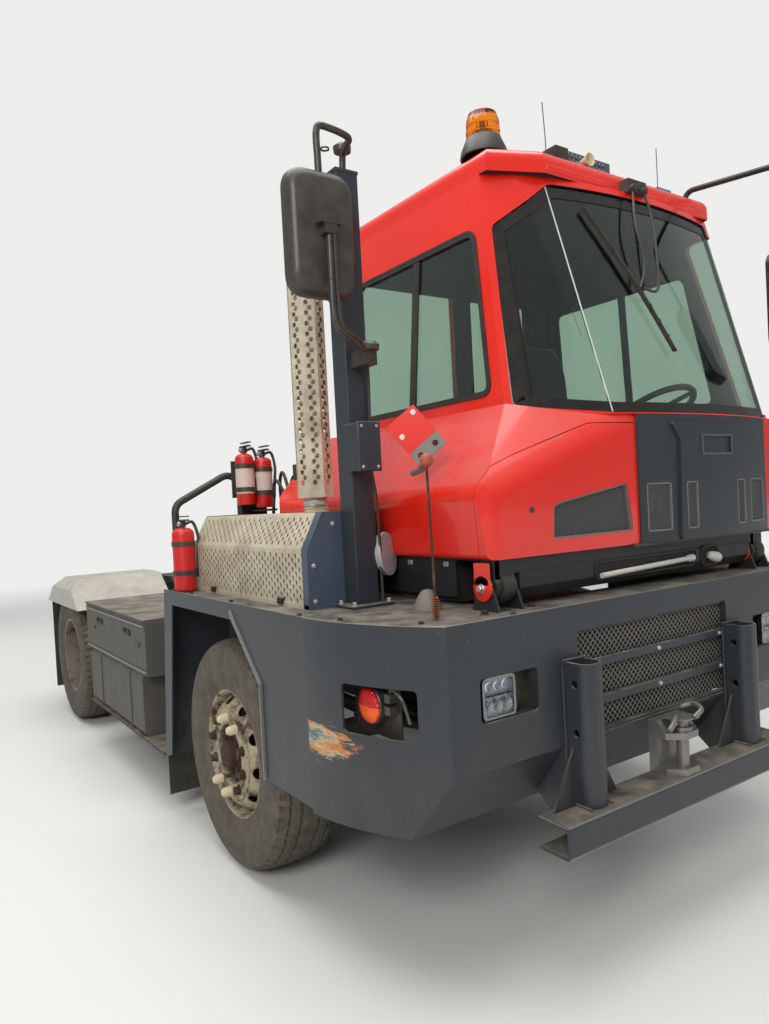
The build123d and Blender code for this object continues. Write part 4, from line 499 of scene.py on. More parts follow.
def plate(outline, seat, u, v, depth):
    """Flat plate: a closed outline of (u, v) pairs laid on the axes u and v from seat, and given depth along them."""
    outline = np.array(outline, float)
    u, v, depth = (np.array(value, float) for value in (u, v, depth))
    near = np.array(seat, float) + outline[:, :1] * u + outline[:, 1:] * v
    count = len(outline)
    ring = grid_faces(2, count, wrap_columns=True)
    caps = np.stack([np.arange(count)[::-1], np.arange(count) + count])
    return np.concatenate([near, near + depth]), [ring, caps]


def rectangle(low_u, low_v, high_u, high_v):
    """Outline of a rectangle between two corners."""
    return [(low_u, low_v), (high_u, low_v), (high_u, high_v), (low_u, high_v)]


def front_plate(outline, y, thick):
    """Flat plate across the tractor: an outline of (x, z) pairs, from y back to y + thick."""
    return plate(outline, (0, y, 0), TO_LEFT, UP, (0, thick, 0))


def rounded(outline, radius, steps=5):
    """Closed outline with each corner drawn as a quadratic curve that starts radius away from it."""
    points = np.array(outline, float)
    before, after = np.roll(points, 1, axis=0) - points, np.roll(points, -1, axis=0) - points
    length = np.minimum(np.linalg.norm(before, axis=1), np.linalg.norm(after, axis=1))[:, None]
    cut = np.minimum(radius, length * 0.49)
    start = points + before / np.linalg.norm(before, axis=1)[:, None] * cut
    end = points + after / np.linalg.norm(after, axis=1)[:, None] * cut
    t = np.linspace(0, 1, steps)[None, :, None]
    curve = (1 - t) ** 2 * start[:, None] + 2 * t * (1 - t) * points[:, None] + t ** 2 * end[:, None]
    return curve.reshape(-1, 2)


def box_shape(low, high):
    """Box between two corners."""
    low, high = np.minimum(low, high), np.maximum(low, high)
    return plate(rectangle(low[0], low[1], high[0], high[1]),
                 (0, 0, low[2]), TO_LEFT, TO_REAR, (0, 0, high[2] - low[2]))


def dull_steel(name, colour, dirt, metallic=0.6, roughness=0.42, soil="6e6250"):
    """Bare steel, brushed dull, under a film of dirt that follows a broad noise."""
    material, tree, shader, here = surface(name)
    cloud = add(tree, "TexNoise", {"Vector": here, "Scale": 7.0, "Detail": 8.0, "Roughness": 0.65})
    amount = add(tree, "MapRange", {"Value": cloud, "From Min": 0.38, "From Max": 0.75, "To Max": dirt})
    mixed = add(tree, "Mix", {0: amount, 6: linear(colour), 7: linear(soil)}, 2, data_type="RGBA")
    metal = add(tree, "MapRange", {"Value": amount, "To Min": metallic, "To Max": 0.0})
    fine = add(tree, "TexNoise", {"Vector": here, "Scale": 45.0, "Detail": 5.0})
    rough = add(tree, "Math", {0: fine, 1: 0.3, 2: roughness - 0.1}, operation="MULTIPLY_ADD")
    bump = add(tree, "Bump", {"Height": fine, "Strength": 0.12, "Distance": 0.001})
    join(tree, shader, {"Base Color": mixed, "Metallic": metal, "Roughness": rough, "Normal": bump})
    return material


stainless = dull_steel("dusty_stainless_sheet", "cfc4ac", 0.75, 0.35, 0.45)
bright_steel = dull_steel("bright_zinc_plate", "c9c9c6", 0.3, 0.85, 0.3)
slate_blue = enamel("slate_blue_enamel", "3d4757", 0.32, 0.5)
black_paint = enamel("black_satin_paint", "1b1c1e", 0.4, 0.5)
guard_low, guard_high = map(np.array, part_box("exhaust_box"))
guard_length = guard_high[1] - guard_low[1]
bend_z, top_z = 1.465, guard_high[2]
top_x = guard_low[0] + 0.076
faces = [perforated((guard_low[0], guard_low[1] + 0.006, z), (0, guard_length - 0.012, 0), rise, 44, rows, SLOT,
                    SLOT_TURN)
         for z, rise, rows in ((guard_low[2] + 0.004, (0, 0, bend_z - guard_low[2] - 0.004), 13),
                               (bend_z, (top_x - guard_low[0], 0, top_z - bend_z), 9))]
sheet = piece("perforated_exhaust_guard", faces, stainless, "chassis", ["exhaust_box"])
sheet.modifiers.new("gauge", "SOLIDIFY").thickness = SHEET_T
lid = plate(rounded(rectangle(top_x, guard_low[1], guard_high[0], guard_high[1]), 0.01),
            (0, 0, top_z - 0.003), TO_LEFT, TO_REAR, (0, 0, 0.003))
base = box_shape((guard_low[0] - 0.004, guard_low[1], guard_low[2]),
                 (guard_low[0] + 0.002, guard_high[1], guard_low[2] + 0.018))
piece("exhaust_guard_lid", [lid, base], stainless, "chassis")
end_outline = [(guard_low[0] + 0.012, guard_low[2]), (guard_low[0] + 0.012, bend_z), (top_x + 0.004, top_z + 0.004),
               (guard_high[0] - 0.02, top_z + 0.004), (guard_high[0] - 0.02, guard_low[2])]
ends = [front_plate(end_outline, y, 0.006) for y in (guard_low[1] - 0.001, guard_high[1] - 0.005)]
folded_edge = [(guard_low[0] - 0.004, guard_low[2]), (guard_low[0] - 0.004, bend_z), (top_x - 0.004, top_z + 0.004),
               (top_x + 0.01, top_z + 0.004), (guard_low[0] + 0.014, bend_z), (guard_low[0] + 0.014, guard_low[2])]
bevel_face = front_plate(folded_edge, guard_low[1] - 0.001, 0.045)
piece("exhaust_guard_ends", [*ends, bevel_face], slate_blue, "chassis", bevel=0.0015)
screws = [hex_nut((x, guard_low[1] - 0.001, z), TO_FRONT, 0.014, 0.008)
          for x, z in ((-1.075, 1.26), (-1.075, 1.40), (-0.98, 1.56), (-0.93, 1.27))]
piece("exhaust_guard_screws", screws, bright_steel, "chassis", angle=0.4)
latches = [box_shape((guard_low[0] - 0.016, y - 0.02, 1.236), (guard_low[0], y + 0.02, 1.262))
           for y in (guard_low[1] + 0.24, guard_low[1] + 0.98)]
piece("exhaust_guard_latches", latches, black_paint, "chassis", bevel=0.002)


# Silencer and stack: a bright can lying in the guard, a bellows and a clamp under the upright pipe, and an
# eight-sided guard of the same stainless round the pipe, folded from one sheet punched with round holes.
STACK = (-0.885, AXLE_Y - 0.375)
GUARD_R = 0.08
GUARD_Z = (1.67, 2.90)
stack_faces = []
for side in range(8):
    a, b = side * np.pi / 4, (side + 1) * np.pi / 4
    start = np.array([STACK[0] + GUARD_R * np.cos(a), STACK[1] + GUARD_R * np.sin(a), GUARD_Z[0] + 0.03])
    end = np.array([STACK[0] + GUARD_R * np.cos(b), STACK[1] + GUARD_R * np.sin(b), GUARD_Z[0] + 0.03])
    edge = (end - start) * 0.06
    mesh_part = perforated(start + edge, end - start - 2 * edge, (0, 0, GUARD_Z[1] - GUARD_Z[0] - 0.06), 4, 52,
                           (0.0108, 0.0108))
    strip = [plate(rectangle(0, 0, 1, GUARD_Z[1] - GUARD_Z[0] - 0.06), seat, edge, UP,
                   np.cross(edge, (0, 0, -0.02))) for seat in (start, end - edge)]
    stack_faces += [mesh_part, *strip]
silver = lathe([(0, 0.157), (0.012, 0.16), (0.888, 0.16), (0.9, 0.15), (0.9, 0), (0, 0), (0, 0.157)],
               (-0.925, AXLE_Y - 0.6, 1.41), TO_REAR, 64)
feet = [box_shape((-0.985, AXLE_Y + y, DECK_TOP), (-0.865, AXLE_Y + y + 0.03, 1.3)) for y in (-0.52, 0.2)]
bands = [lathe([(0, 0.16), (0, 0.1635), (0.03, 0.1635), (0.03, 0.16)], (-0.925, AXLE_Y + y, 1.41), TO_REAR, 64)
         for y in (-0.52, 0.2)]
collars = [lathe(rectangle(0, GUARD_R * 1.01, height, 0.05), (*STACK, z), UP, 8)
           for z, height in ((GUARD_Z[0], 0.03), (GUARD_Z[1] - 0.03, 0.03))]
ripple = np.linspace(0, 1, 50)
pipe = [(0, 0.048), *zip(0.01 + 0.13 * ripple, 0.052 + 0.004 * np.cos(ripple * 2 * np.pi * 8)), (0.15, 0.048),
        (1.51, 0.048), (1.51, 0.044), (1.4, 0.044)]
piece("silencer_and_stack", [silver, *feet, *bands, *collars, lathe(pipe, (*STACK, 1.5), UP, 40)], stainless,
      "chassis", ["exhaust"])
piece("perforated_stack_guard", stack_faces, stainless, "chassis")
clamp = [lathe([(0, 0.05), (0, 0.056), (0.022, 0.056), (0.022, 0.05)], (*STACK, 1.635), UP, 40),
         hex_nut((STACK[0], STACK[1] - 0.062, 1.646), TO_RIGHT, 0.014, 0.05)]
piece("stack_clamp", clamp, bright_steel, "chassis")


# Mirror mast: a square tube on a bolted foot, with a junction box. The mirror head is a moulded shell with a domed
# back, clamped on a bent black tube, and cables run down tube and mast under ties.
CABLE_R = 0.006


def route(points, steps=10):
    """Smooth path through points: a Catmull-Rom curve with steps per span."""
    points = np.array(points, float)
    padded = np.concatenate([2 * points[:1] - points[1:2], points, 2 * points[-1:] - points[-2:-1]])
    t = np.linspace(0, 1, steps, endpoint=False)[None, :, None]
    a, b, c, d = (padded[i:len(padded) - 3 + i][:, None] for i in range(4))
    curve = 0.5 * (2 * b + (c - a) * t + (2 * a - 5 * b + 4 * c - d) * t ** 2 + (3 * b - a - 3 * c + d) * t ** 3)
    return np.concatenate([curve.reshape(-1, 3), points[-1:]])


def sweep(path, section, reference=(0.31, 0.52, 0.8)):
    """Closed section of (u, v) pairs carried along a path. At each point v is the part of reference that is square
    to the path, and u is square to both."""
    path, section = np.array(path, float), np.array(section, float)
    ahead = np.gradient(path, axis=0)
    ahead /= np.linalg.norm(ahead, axis=1)[:, None]
    u = np.cross(ahead, reference)
    u /= np.linalg.norm(u, axis=1)[:, None]
    v = np.cross(u, ahead)
    points = path[:, None] + section[None, :, :1] * u[:, None] + section[None, :, 1:] * v[:, None]
    count = len(section)
    faces = [grid_faces(len(path), count, wrap_columns=True), np.arange(count)[None, ::-1],
             np.arange(count)[None] + (len(path) - 1) * count]
    return points.reshape(-1, 3), faces


def ring_of(radius, count=10):
    """Circle as a section."""
    turn = np.arange(count) / count * 2 * np.pi
    return np.stack([radius * np.cos(turn), radius * np.sin(turn)], axis=-1)


def plastic(name, colour, roughness=0.45, dust=0.25):
    """Moulded plastic with a fine grain and a little dust."""
    return rubber(name, colour, dust, roughness)


black_plastic = plastic("black_moulded_plastic", "17181a", 0.4, 0.3)
mirror_glass = dull_steel("mirror_glass", "d8dde0", 0.05, 1.0, 0.12)
mast = np.array([-0.89, AXLE_Y - 0.72])
tube_y = mast[1] - 0.212
arm = route([(mast[0] + 0.014, mast[1], 2.93), (mast[0] + 0.014, mast[1] - 0.005, 3.0),
             (mast[0], mast[1] - 0.04, 3.018),
             (mast[0] - 0.03, mast[1] - 0.12, 3.02), (-1.05, mast[1] - 0.15, 3.02), (-1.078, mast[1] - 0.155, 2.99),
             (-1.08, mast[1] - 0.158, 2.9), (-1.08, mast[1] - 0.16, 2.8)], 8)
lower_arm = route([(-1.08, tube_y, 2.63), (-1.08, tube_y, 2.5), (-1.08, tube_y, 2.34), (-1.068, tube_y, 2.28),
                   (-1.03, tube_y + 0.01, 2.255),
                   (-0.94, tube_y + 0.05, 2.222), (mast[0] - 0.005, mast[1] - 0.12, 2.215),
                   (mast[0] - 0.01, mast[1] - 0.05, 2.215)], 8)
knob = lathe([(0, 0), (0.0, 0.034), (0.02, 0.036), (0.032, 0.024), (0.036, 0)],
             (mast[0] + 0.014, mast[1] - 0.005, 3.02), UP)
top_cap = box_shape((mast[0] - 0.052, mast[1] - 0.052, 2.922), (mast[0] + 0.052, mast[1] + 0.052, 2.934))
joint = [lathe([(0, 0), (0, 0.04), (0.018, 0.042), (0.03, 0.03), (0.034, 0)], (mast[0], mast[1] - 0.14, 2.215), UP),
         box_shape((mast[0] - 0.03, mast[1] - 0.15, 2.16), (mast[0] + 0.03, mast[1] - 0.05, 2.215))]
shell_u = rounded(rectangle(-1.215, 2.39, -0.945, 2.85), 0.075, 8)
centre = shell_u.mean(axis=0)
depth = np.array([0.0, 0.0, 0.012, 0.05, 0.068, 0.078, 0.083])[:, None]
grow = np.array([0.93, 0.98, 1.0, 0.985, 0.93, 0.82, 0.3])[:, None, None]
flat = centre + (shell_u[None] - centre) * grow
shell_y = mast[1] - 0.108 - depth
head = np.stack([flat[..., 0], np.broadcast_to(shell_y, flat.shape[:2]), flat[..., 1]], axis=-1).reshape(-1, 3)
shell = head, [grid_faces(len(grow), len(shell_u), wrap_columns=True)[:, ::-1],
               (np.arange(len(shell_u)) + (len(grow) - 1) * len(shell_u))[None]]
clamps = [box_shape((-1.125, tube_y - 0.02, 2.635), (-1.04, mast[1] - 0.175, 2.672)),
          box_shape((-1.105, tube_y - 0.018, 2.60), (-1.055, mast[1] - 0.175, 2.64))]
ties = [lathe([(0, 0.0135), (0, 0.0165), (0.006, 0.0165), (0.006, 0.0135)], (-1.08, tube_y, z), UP, 16)
        for z in (2.36, 2.44, 2.9)]
piece("mirror_right_head", [shell, sweep(arm, ring_of(0.013, 14)), sweep(lower_arm, ring_of(0.013, 14)), knob,
                            top_cap, *joint, *clamps, *ties], black_plastic, "chassis", ["mirror_right"])
pane = front_plate(rounded(rectangle(-1.2, 2.405, -0.96, 2.835), 0.06, 8), mast[1] - 0.1095, 0.003)
piece("mirror_right_glass", pane, mirror_glass, "chassis")
cable_runs = [
    route([(-1.066, tube_y - 0.012, 2.62), (-1.064, tube_y - 0.012, 2.4), (-1.05, tube_y - 0.010, 2.275),
           (-0.95, tube_y + 0.03, 2.235), (-0.885, mast[1] - 0.115, 2.18),
           (-0.852, mast[1] - 0.07, 2.12), (-0.85, mast[1] - 0.062, 1.95), (-0.85, mast[1] - 0.075, 1.86)], 8),
    route([(-0.880, mast[1] - 0.1, 1.76), (-0.845, mast[1] - 0.075, 1.62), (-0.832, mast[1] - 0.06, 1.4),
           (-0.832, mast[1] - 0.062, 1.24)], 8),
]
piece("mast_cables", [sweep(run, ring_of(CABLE_R, 8)) for run in cable_runs], black_rubber, "chassis")
box_low, box_high = np.array([-0.964, mast[1] - 0.15, 1.757]), np.array([-0.868, mast[1] - 0.05, 1.94])
box_lid = box_shape(box_low - [0.003, 0.004, 0.003], [box_high[0] + 0.003, box_low[1] + 0.012, box_high[2] + 0.003])
post = box_shape((mast[0] - 0.05, mast[1] - 0.05, 1.24), (mast[0] + 0.05, mast[1] + 0.05, 2.93))
foot = box_shape((mast[0] - 0.1, mast[1] - 0.09, DECK_TOP), (mast[0] + 0.1, mast[1] + 0.05, 1.24))
piece("mast_and_junction_box", [post, foot, box_shape(box_low, box_high), box_lid], slate_enamel, "chassis",
      ["mirror_mast"], bevel=0.004)
box_screws = [hex_nut((x, box_low[1] - 0.004, z), TO_FRONT, 0.009, 0.004)
              for x in (box_low[0] + 0.014, box_high[0] - 0.014) for z in (box_low[2] + 0.014, box_high[2] - 0.014)]
foot_bolts = [hex_nut((mast[0] + dx, mast[1] + dy, 1.24), UP, 0.018, 0.014) for dx in (-0.08, 0.08)
              for dy in (-0.07, 0.03)]
piece("mast_bolts", box_screws + foot_bolts, bright_steel, "chassis", angle=0.4)


# Wire mesh behind the grille bars and in the vents of the cab: thin wires woven on the diagonal in a black finish,
# held by a narrow frame in each opening. The grille's two crossbars are bolted on in front of it.
WIRE = 0.0024


def wires(outline, pitch, width, lay, thick):
    """Lines at forty-five degrees both ways, pitch apart, each clipped to a closed convex outline of (u, v) pairs and
    given width. lay turns (n, 2) pairs and a height off the sheet into points."""
    outline = np.array(outline, float)
    pieces = []
    for slope, height in ((1, 0.0), (-1, thick)):
        ahead = np.array([1, slope]) / np.sqrt(2)
        across = np.array([-slope, 1]) / np.sqrt(2)
        reach = outline @ across
        offsets = np.arange(reach.min() + pitch * 0.5, reach.max(), pitch)
        edge = np.roll(outline, -1, axis=0) - outline
        start, run = offsets[:, None, None] * across, ahead
        cross = run[0] * edge[:, 1] - run[1] * edge[:, 0]
        gap = outline[None] - start
        cross = np.where(np.abs(cross) < 1e-9, 1e-9, cross)
        t = (gap[..., 0] * edge[:, 1] - gap[..., 1] * edge[:, 0]) / cross
        s = (gap[..., 0] * run[1] - gap[..., 1] * run[0]) / cross
        inside = (s >= 0) & (s <= 1)
        low = np.where(inside, t, np.inf).min(axis=1)
        high = np.where(inside, t, -np.inf).max(axis=1)
        kept = np.isfinite(low) & (high - low > width)
        line = offsets[kept, None] * across
        ends = np.stack([line + low[kept, None] * ahead, line + high[kept, None] * ahead], axis=1)
        side = across * width / 2
        flat = np.stack([ends[:, 0] - side, ends[:, 1] - side, ends[:, 1] + side, ends[:, 0] + side], axis=1)
        both = np.concatenate([flat, flat], axis=1)
        lift = np.repeat([height, height + thick], 4)[None, :].repeat(len(both), axis=0)
        box_faces = np.array([[0, 3, 2, 1], [4, 5, 6, 7], [0, 1, 5, 4], [1, 2, 6, 5], [2, 3, 7, 6], [3, 0, 4, 7]])
        starts = np.arange(len(both))[:, None, None] * 8
        pieces.append((lay(both.reshape(-1, 2), lift.ravel()), [(starts + box_faces).reshape(-1, 4)]))
    return pieces


def front_lay(y):
    """Function that lays (x, z) pairs on the upright plane across the tractor at y and lifts them forwards."""
    return lambda pairs, lift: np.stack([pairs[:, 0], y - lift, pairs[:, 1]], axis=-1)


def rim_of(outline, width, lay, thick):
    """Flat frame: the outline and the same outline drawn in by width, joined front, back, inside and outside."""
    outline = np.array(outline, float)
    before, after = np.roll(outline, 1, axis=0), np.roll(outline, -1, axis=0)
    tangent = (after - before) / np.linalg.norm(after - before, axis=1)[:, None]
    inward = np.stack([-tangent[:, 1], tangent[:, 0]], axis=-1) * width
    inner = outline + inward
    rings = ((outline, 0.0), (inner, 0.0), (inner, thick), (outline, thick))
    points = np.concatenate([lay(ring, np.full(len(ring), lift)) for ring, lift in rings])
    return points, [grid_faces(4, len(outline), wrap_rows=True, wrap_columns=True)]


galvanised = dull_steel("galvanised_wire", "8d8a84", 0.5, 0.5, 0.45)
# Near-black plate put into openings and recesses: painted shade, standing in for the dark space behind them.
painted_shade_plate = plastic("painted_shade_inner_plate", "08090a", 0.8, 0.1)
grille_low, grille_high = map(np.array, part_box("grille"))
face_y = grille_low[1]
grille_outline = rounded(rectangle(grille_low[0], grille_low[2], grille_high[0], grille_high[2]), 0.016)
grille_back = front_lay(face_y + 0.03)
piece("grille_frame", rim_of(grille_outline, 0.008, grille_back, 0.022), slate_enamel, "chassis", ["grille"])
grille_mesh = wires(grille_outline, 0.0185, WIRE, front_lay(face_y + 0.026), 0.0025)
piece("grille_wire_mesh", grille_mesh, galvanised, "chassis", angle=0.3)
bar_rows = (0.876, 1.014)
bars = [box_shape((grille_low[0] + 0.004, face_y + 0.002, z - 0.016),
                  (grille_high[0] - 0.004, face_y + 0.02, z + 0.016)) for z in bar_rows]
piece("grille_crossbars", bars, slate_enamel, "chassis", bevel=0.003)
bolts = [hex_nut((x, face_y + 0.002, z), TO_FRONT, 0.013, 0.007) for z in bar_rows
         for x in (grille_low[0] + 0.05, 0, grille_high[0] - 0.05)]
piece("grille_bolts", bolts, bright_steel, "chassis", angle=0.4)

FRONT_WALL_Y = AXLE_Y - 1.31
SCREEN_X, SCREEN_Y = 0.57, AXLE_Y - 1.36
red_vent = rounded([(-0.411, 1.463), (0.053, 1.465), (0.026, 1.662), (-0.359, 1.602), (-0.403, 1.589)], 0.014)
in_vent = front_lay(FRONT_WALL_Y + 0.017)
vent_parts = [*wires(red_vent, 0.0092, 0.0017, in_vent, 0.0012), rim_of(red_vent, 0.007, in_vent, 0.013)]
# Behind each vent lies a near-black plate: painted shade for the dark inside of the opening.
vent_shade_backing = [front_plate(red_vent, FRONT_WALL_Y + 0.0185, 0.002)]
panel_radius = (0.478 ** 2 + 0.042 ** 2) / (2 * 0.042)


def on_panel(depth):
    """Function that lays (x, z) pairs on the bowed panel, depth behind its face, and lifts them forwards."""
    def lay(pairs, lift):
        bow = panel_radius - np.sqrt(panel_radius ** 2 - (pairs[:, 0] - SCREEN_X) ** 2)
        return np.stack([pairs[:, 0], SCREEN_Y + bow + depth - lift, pairs[:, 1]], axis=-1)
    return lay


# Vents of the dark panel: low and high x from its middle, and how far its face stands forward there.
PANEL_VENTS = ((-0.440, -0.300, 0.0), (-0.222, -0.150, 0.012), (0.150, 0.222, 0.012), (0.300, 0.440, 0.0))
for low_x, high_x, proud in PANEL_VENTS:
    outline = rounded(rectangle(SCREEN_X + low_x, 1.455, SCREEN_X + high_x, 1.655), 0.014)
    lay = on_panel(0.008 - proud)
    vent_parts += [*wires(outline, 0.0092, 0.0017, lay, 0.0012), rim_of(outline, 0.006, lay, 0.008)]
    vent_shade_backing.append(front_plate(outline, FRONT_WALL_Y - 0.006, 0.002))
vent_wire = dull_steel("painted_vent_wire", "77797c", 0.3, 0.4, 0.4)
piece("vent_wire_meshes", vent_parts, vent_wire, "cab", angle=0.3)
piece("vent_painted_shade_backings", vent_shade_backing, painted_shade_plate, "cab", angle=0.3)


# Front lamps: a square lamp with two decks of light-emitting diodes stands in each front window, behind a clear
# pane in a bright bezel. A round tail lamp, red over amber, looks out of each corner window beside its connectors.
LAMP_X = (-0.902, -0.757)
LAMP_Z = (0.909, 1.048)
LAMP_FACE = AXLE_Y - 1.444 + 0.012
CORNER_LAMP = (-1.156, AXLE_Y - 1.148, 0.9605)


def mirrored(shape):
    """The shape on the other side of the tractor's middle plane."""
    points, arrays = shape
    return points * np.array([-1, 1, 1]), arrays


def clear(name, colour, roughness=0.0):
    """Clear moulded plastic or glass that lets light through."""
    material, tree, shader, _ = surface(name)
    join(tree, shader, {"Base Color": linear(colour), "Roughness": roughness, "Transmission Weight": 1.0,
                        "IOR": 1.45})
    return material


lamp_outline = rounded(rectangle(LAMP_X[0], LAMP_Z[0], LAMP_X[1], LAMP_Z[1]), 0.022)
lamp_middle = middle_x, middle_z = np.array([sum(LAMP_X) / 2, sum(LAMP_Z) / 2])
# The well plates are the lamps' black housing and also paint the deep shade of each recess.
wells_and_painted_shade = [box_shape((-0.919, LAMP_FACE + 0.045, 0.908), (-0.667, LAMP_FACE + 0.049, 1.049)),
        box_shape((-0.671, LAMP_FACE, 0.908), (-0.667, LAMP_FACE + 0.045, 1.049)),
        box_shape((-0.919, LAMP_FACE, 0.908), (-0.671, LAMP_FACE + 0.045, 0.911))]
housing = front_plate(lamp_outline, LAMP_FACE + 0.02, 0.06)
bracket = box_shape((middle_x - 0.02, LAMP_FACE + 0.06, LAMP_Z[0] - 0.004),
                    (middle_x + 0.02, LAMP_FACE + 0.112, LAMP_Z[0] + 0.03))
bezel = rim_of(lamp_outline, 0.009, front_lay(LAMP_FACE + 0.03), 0.03)
tray = front_plate((lamp_outline - lamp_middle) * 0.9 + lamp_middle, LAMP_FACE + 0.018, 0.002)
shelf = box_shape((middle_x - 0.06, LAMP_FACE + 0.006, middle_z + 0.004),
                  (middle_x + 0.06, LAMP_FACE + 0.018, middle_z + 0.012))
lenses = [lathe([(0, 0), (0, 0.014), (0.006, 0.012), (0.009, 0)],
                (middle_x + dx, LAMP_FACE + 0.016, middle_z + 0.036), TO_FRONT, 20)
          for dx in (-0.036, 0, 0.036)]
cups = [lathe([(0, 0.004), (-0.010, 0.019), (-0.012, 0.019), (-0.012, 0.021), (0.002, 0.006), (0.002, 0)],
              (middle_x + dx, LAMP_FACE + 0.016, middle_z - 0.03), TO_REAR, 24) for dx in (-0.040, 0, 0.040)]
window = front_plate((lamp_outline - lamp_middle) * 0.93 + lamp_middle, LAMP_FACE + 0.003, 0.003)
chrome = dull_steel("bright_lamp_reflector", "8c9095", 0.12, 1.0, 0.22)
lamp_diode = clear("clear_diode_lens", "dfeaff", 0.05)
lamp_window = clear("clear_lamp_window", "fbfdff")
corner_plate = plate(rectangle(AXLE_Y - 1.27, 0.85, AXLE_Y - 0.99, 1.055), (-1.112, 0, 0), TO_REAR, UP, (0.006, 0, 0))
base = lathe([(0.0, 0), (0.0, 0.063), (0.03, 0.063), (0.034, 0.06)], (-1.118, *CORNER_LAMP[1:]), TO_RIGHT, 48)
connectors = [box_shape((-1.15, CORNER_LAMP[1] - 0.115, z), (-1.118, CORNER_LAMP[1] - 0.085, z + 0.028))
              for z in (0.945, 0.985)]
wire = sweep(route([(-1.135, CORNER_LAMP[1] - 0.1, 1.012), (-1.14, CORNER_LAMP[1] - 0.12, 1.03),
                    (-1.13, CORNER_LAMP[1] - 0.16, 1.0), (-1.125, CORNER_LAMP[1] - 0.19, 0.93)]), ring_of(0.006, 8))
dark = [housing, *wells_and_painted_shade, bracket, corner_plate, base, *connectors, wire]
piece("lamp_housings", dark + [mirrored(shape) for shape in dark], black_plastic, "chassis", ["front_lamps"])
bright = [bezel, tray, shelf, *cups]
piece("headlight_bezels", bright + [mirrored(shape) for shape in bright], chrome, "chassis")
piece("headlight_diodes", lenses + [mirrored(shape) for shape in lenses], lamp_diode, "chassis")
piece("headlight_windows", [window, mirrored(window)], lamp_window, "chassis")


def two_colour_lens(split_z):
    """Lamp lens moulded in red above split_z and amber below, dimpled inside."""
    material, tree, shader, here = surface("red_and_amber_lens")
    height = add(tree, "SeparateXYZ", {"Vector": here}, "Z")
    upper = add(tree, "Math", {0: height, 1: split_z}, operation="GREATER_THAN")
    mixed = add(tree, "Mix", {0: upper, 6: linear("e8560a"), 7: linear("b80d10")}, 2, data_type="RGBA")
    dimples = add(tree, "TexVoronoi", {"Vector": here, "Scale": 150.0})
    bump = add(tree, "Bump", {"Height": dimples, "Strength": 0.9, "Distance": 0.003})
    join(tree, shader, {"Base Color": mixed, "Roughness": 0.12, "Subsurface Weight": 0.2, "Normal": bump})
    return material


dome = lathe([(0, 0.059), (0.006, 0.059), (0.012, 0.054), (0.016, 0.042), (0.019, 0.02), (0.02, 0)],
             (-1.151, *CORNER_LAMP[1:]), TO_RIGHT, 64)
piece("corner_lamp_lenses", [dome, mirrored(dome)], two_colour_lens(CORNER_LAMP[2]), "chassis")


# Cab glass: tinted safety glass, bonded in front behind black ceramic bands and set in rubber at the sides. The
# bowed screen meets the pane of the right corner at a pale bead, and the side windows slide behind a middle post.
SCREEN_R, SCREEN_LEAN = 2.596, 0.28
PANE_DEPTH = 0.010
# Upright planes of the cab: a point and the outward normal of each.
RIGHT_SIDE = ((-0.40, 0, 2.0), (-0.9955, 0, 0.0942))
LEFT_SIDE = ((1.20, 0, 2.0), (0.9985, 0, 0.055))
SEAL_W = 0.026


def pane_y(x, z, inset=PANE_DEPTH):
    """Outer face of the front glass at x and z: the rearmost of the bowed screen and the two corner planes."""
    screen = SCREEN_Y + SCREEN_R - np.sqrt((SCREEN_R - inset) ** 2 - (x - SCREEN_X) ** 2) + SCREEN_LEAN * (z - 1.935)
    right = AXLE_Y - 1.07 + (inset - 0.462 * (x + 0.40) + 0.207 * (z - 2.0)) / 0.862
    left = AXLE_Y - 1.30 + (inset + 0.733 * (x - 1.11) + 0.165 * (z - 1.935)) / 0.66
    return np.maximum(screen, np.maximum(right, left))


def on_screen(ahead):
    """Function that lays (x, z) pairs on the front glass, ahead of its face, and lifts them forwards."""
    return lambda pairs, lift: np.stack([pairs[:, 0], pane_y(pairs[:, 0], pairs[:, 1]) - ahead - lift, pairs[:, 1]],
                                        axis=-1)


def on_side(plane, depth):
    """Function that lays (y, z) pairs on an upright plane of the cab, depth behind it, and lifts them outwards."""
    point, normal = (np.array(value, float) for value in plane)
    normal /= np.linalg.norm(normal)
    up_plane = np.cross(normal, TO_REAR) * (1 if normal[0] < 0 else -1)

    def lay(pairs, lift):
        rise = (pairs[:, 1] - point[2]) / up_plane[2]
        return (np.array([point[0], 0, point[2]]) + pairs[:, :1] * np.array([0, 1, 0]) + rise[:, None] * up_plane
                + (lift - depth)[:, None] * normal)
    return lay


def divided(outline, step):
    """Closed outline with points added along its sides, about step apart."""
    points = np.array(outline, float)
    after = np.roll(points, -1, axis=0)
    counts = np.maximum(1, np.ceil(np.linalg.norm(after - points, axis=1) / step)).astype(int)
    index = np.repeat(np.arange(len(points)), counts)
    share = (np.arange(counts.sum()) - np.repeat(np.cumsum(counts) - counts, counts)) / counts[index]
    return points[index] + (after[index] - points[index]) * share[:, None]


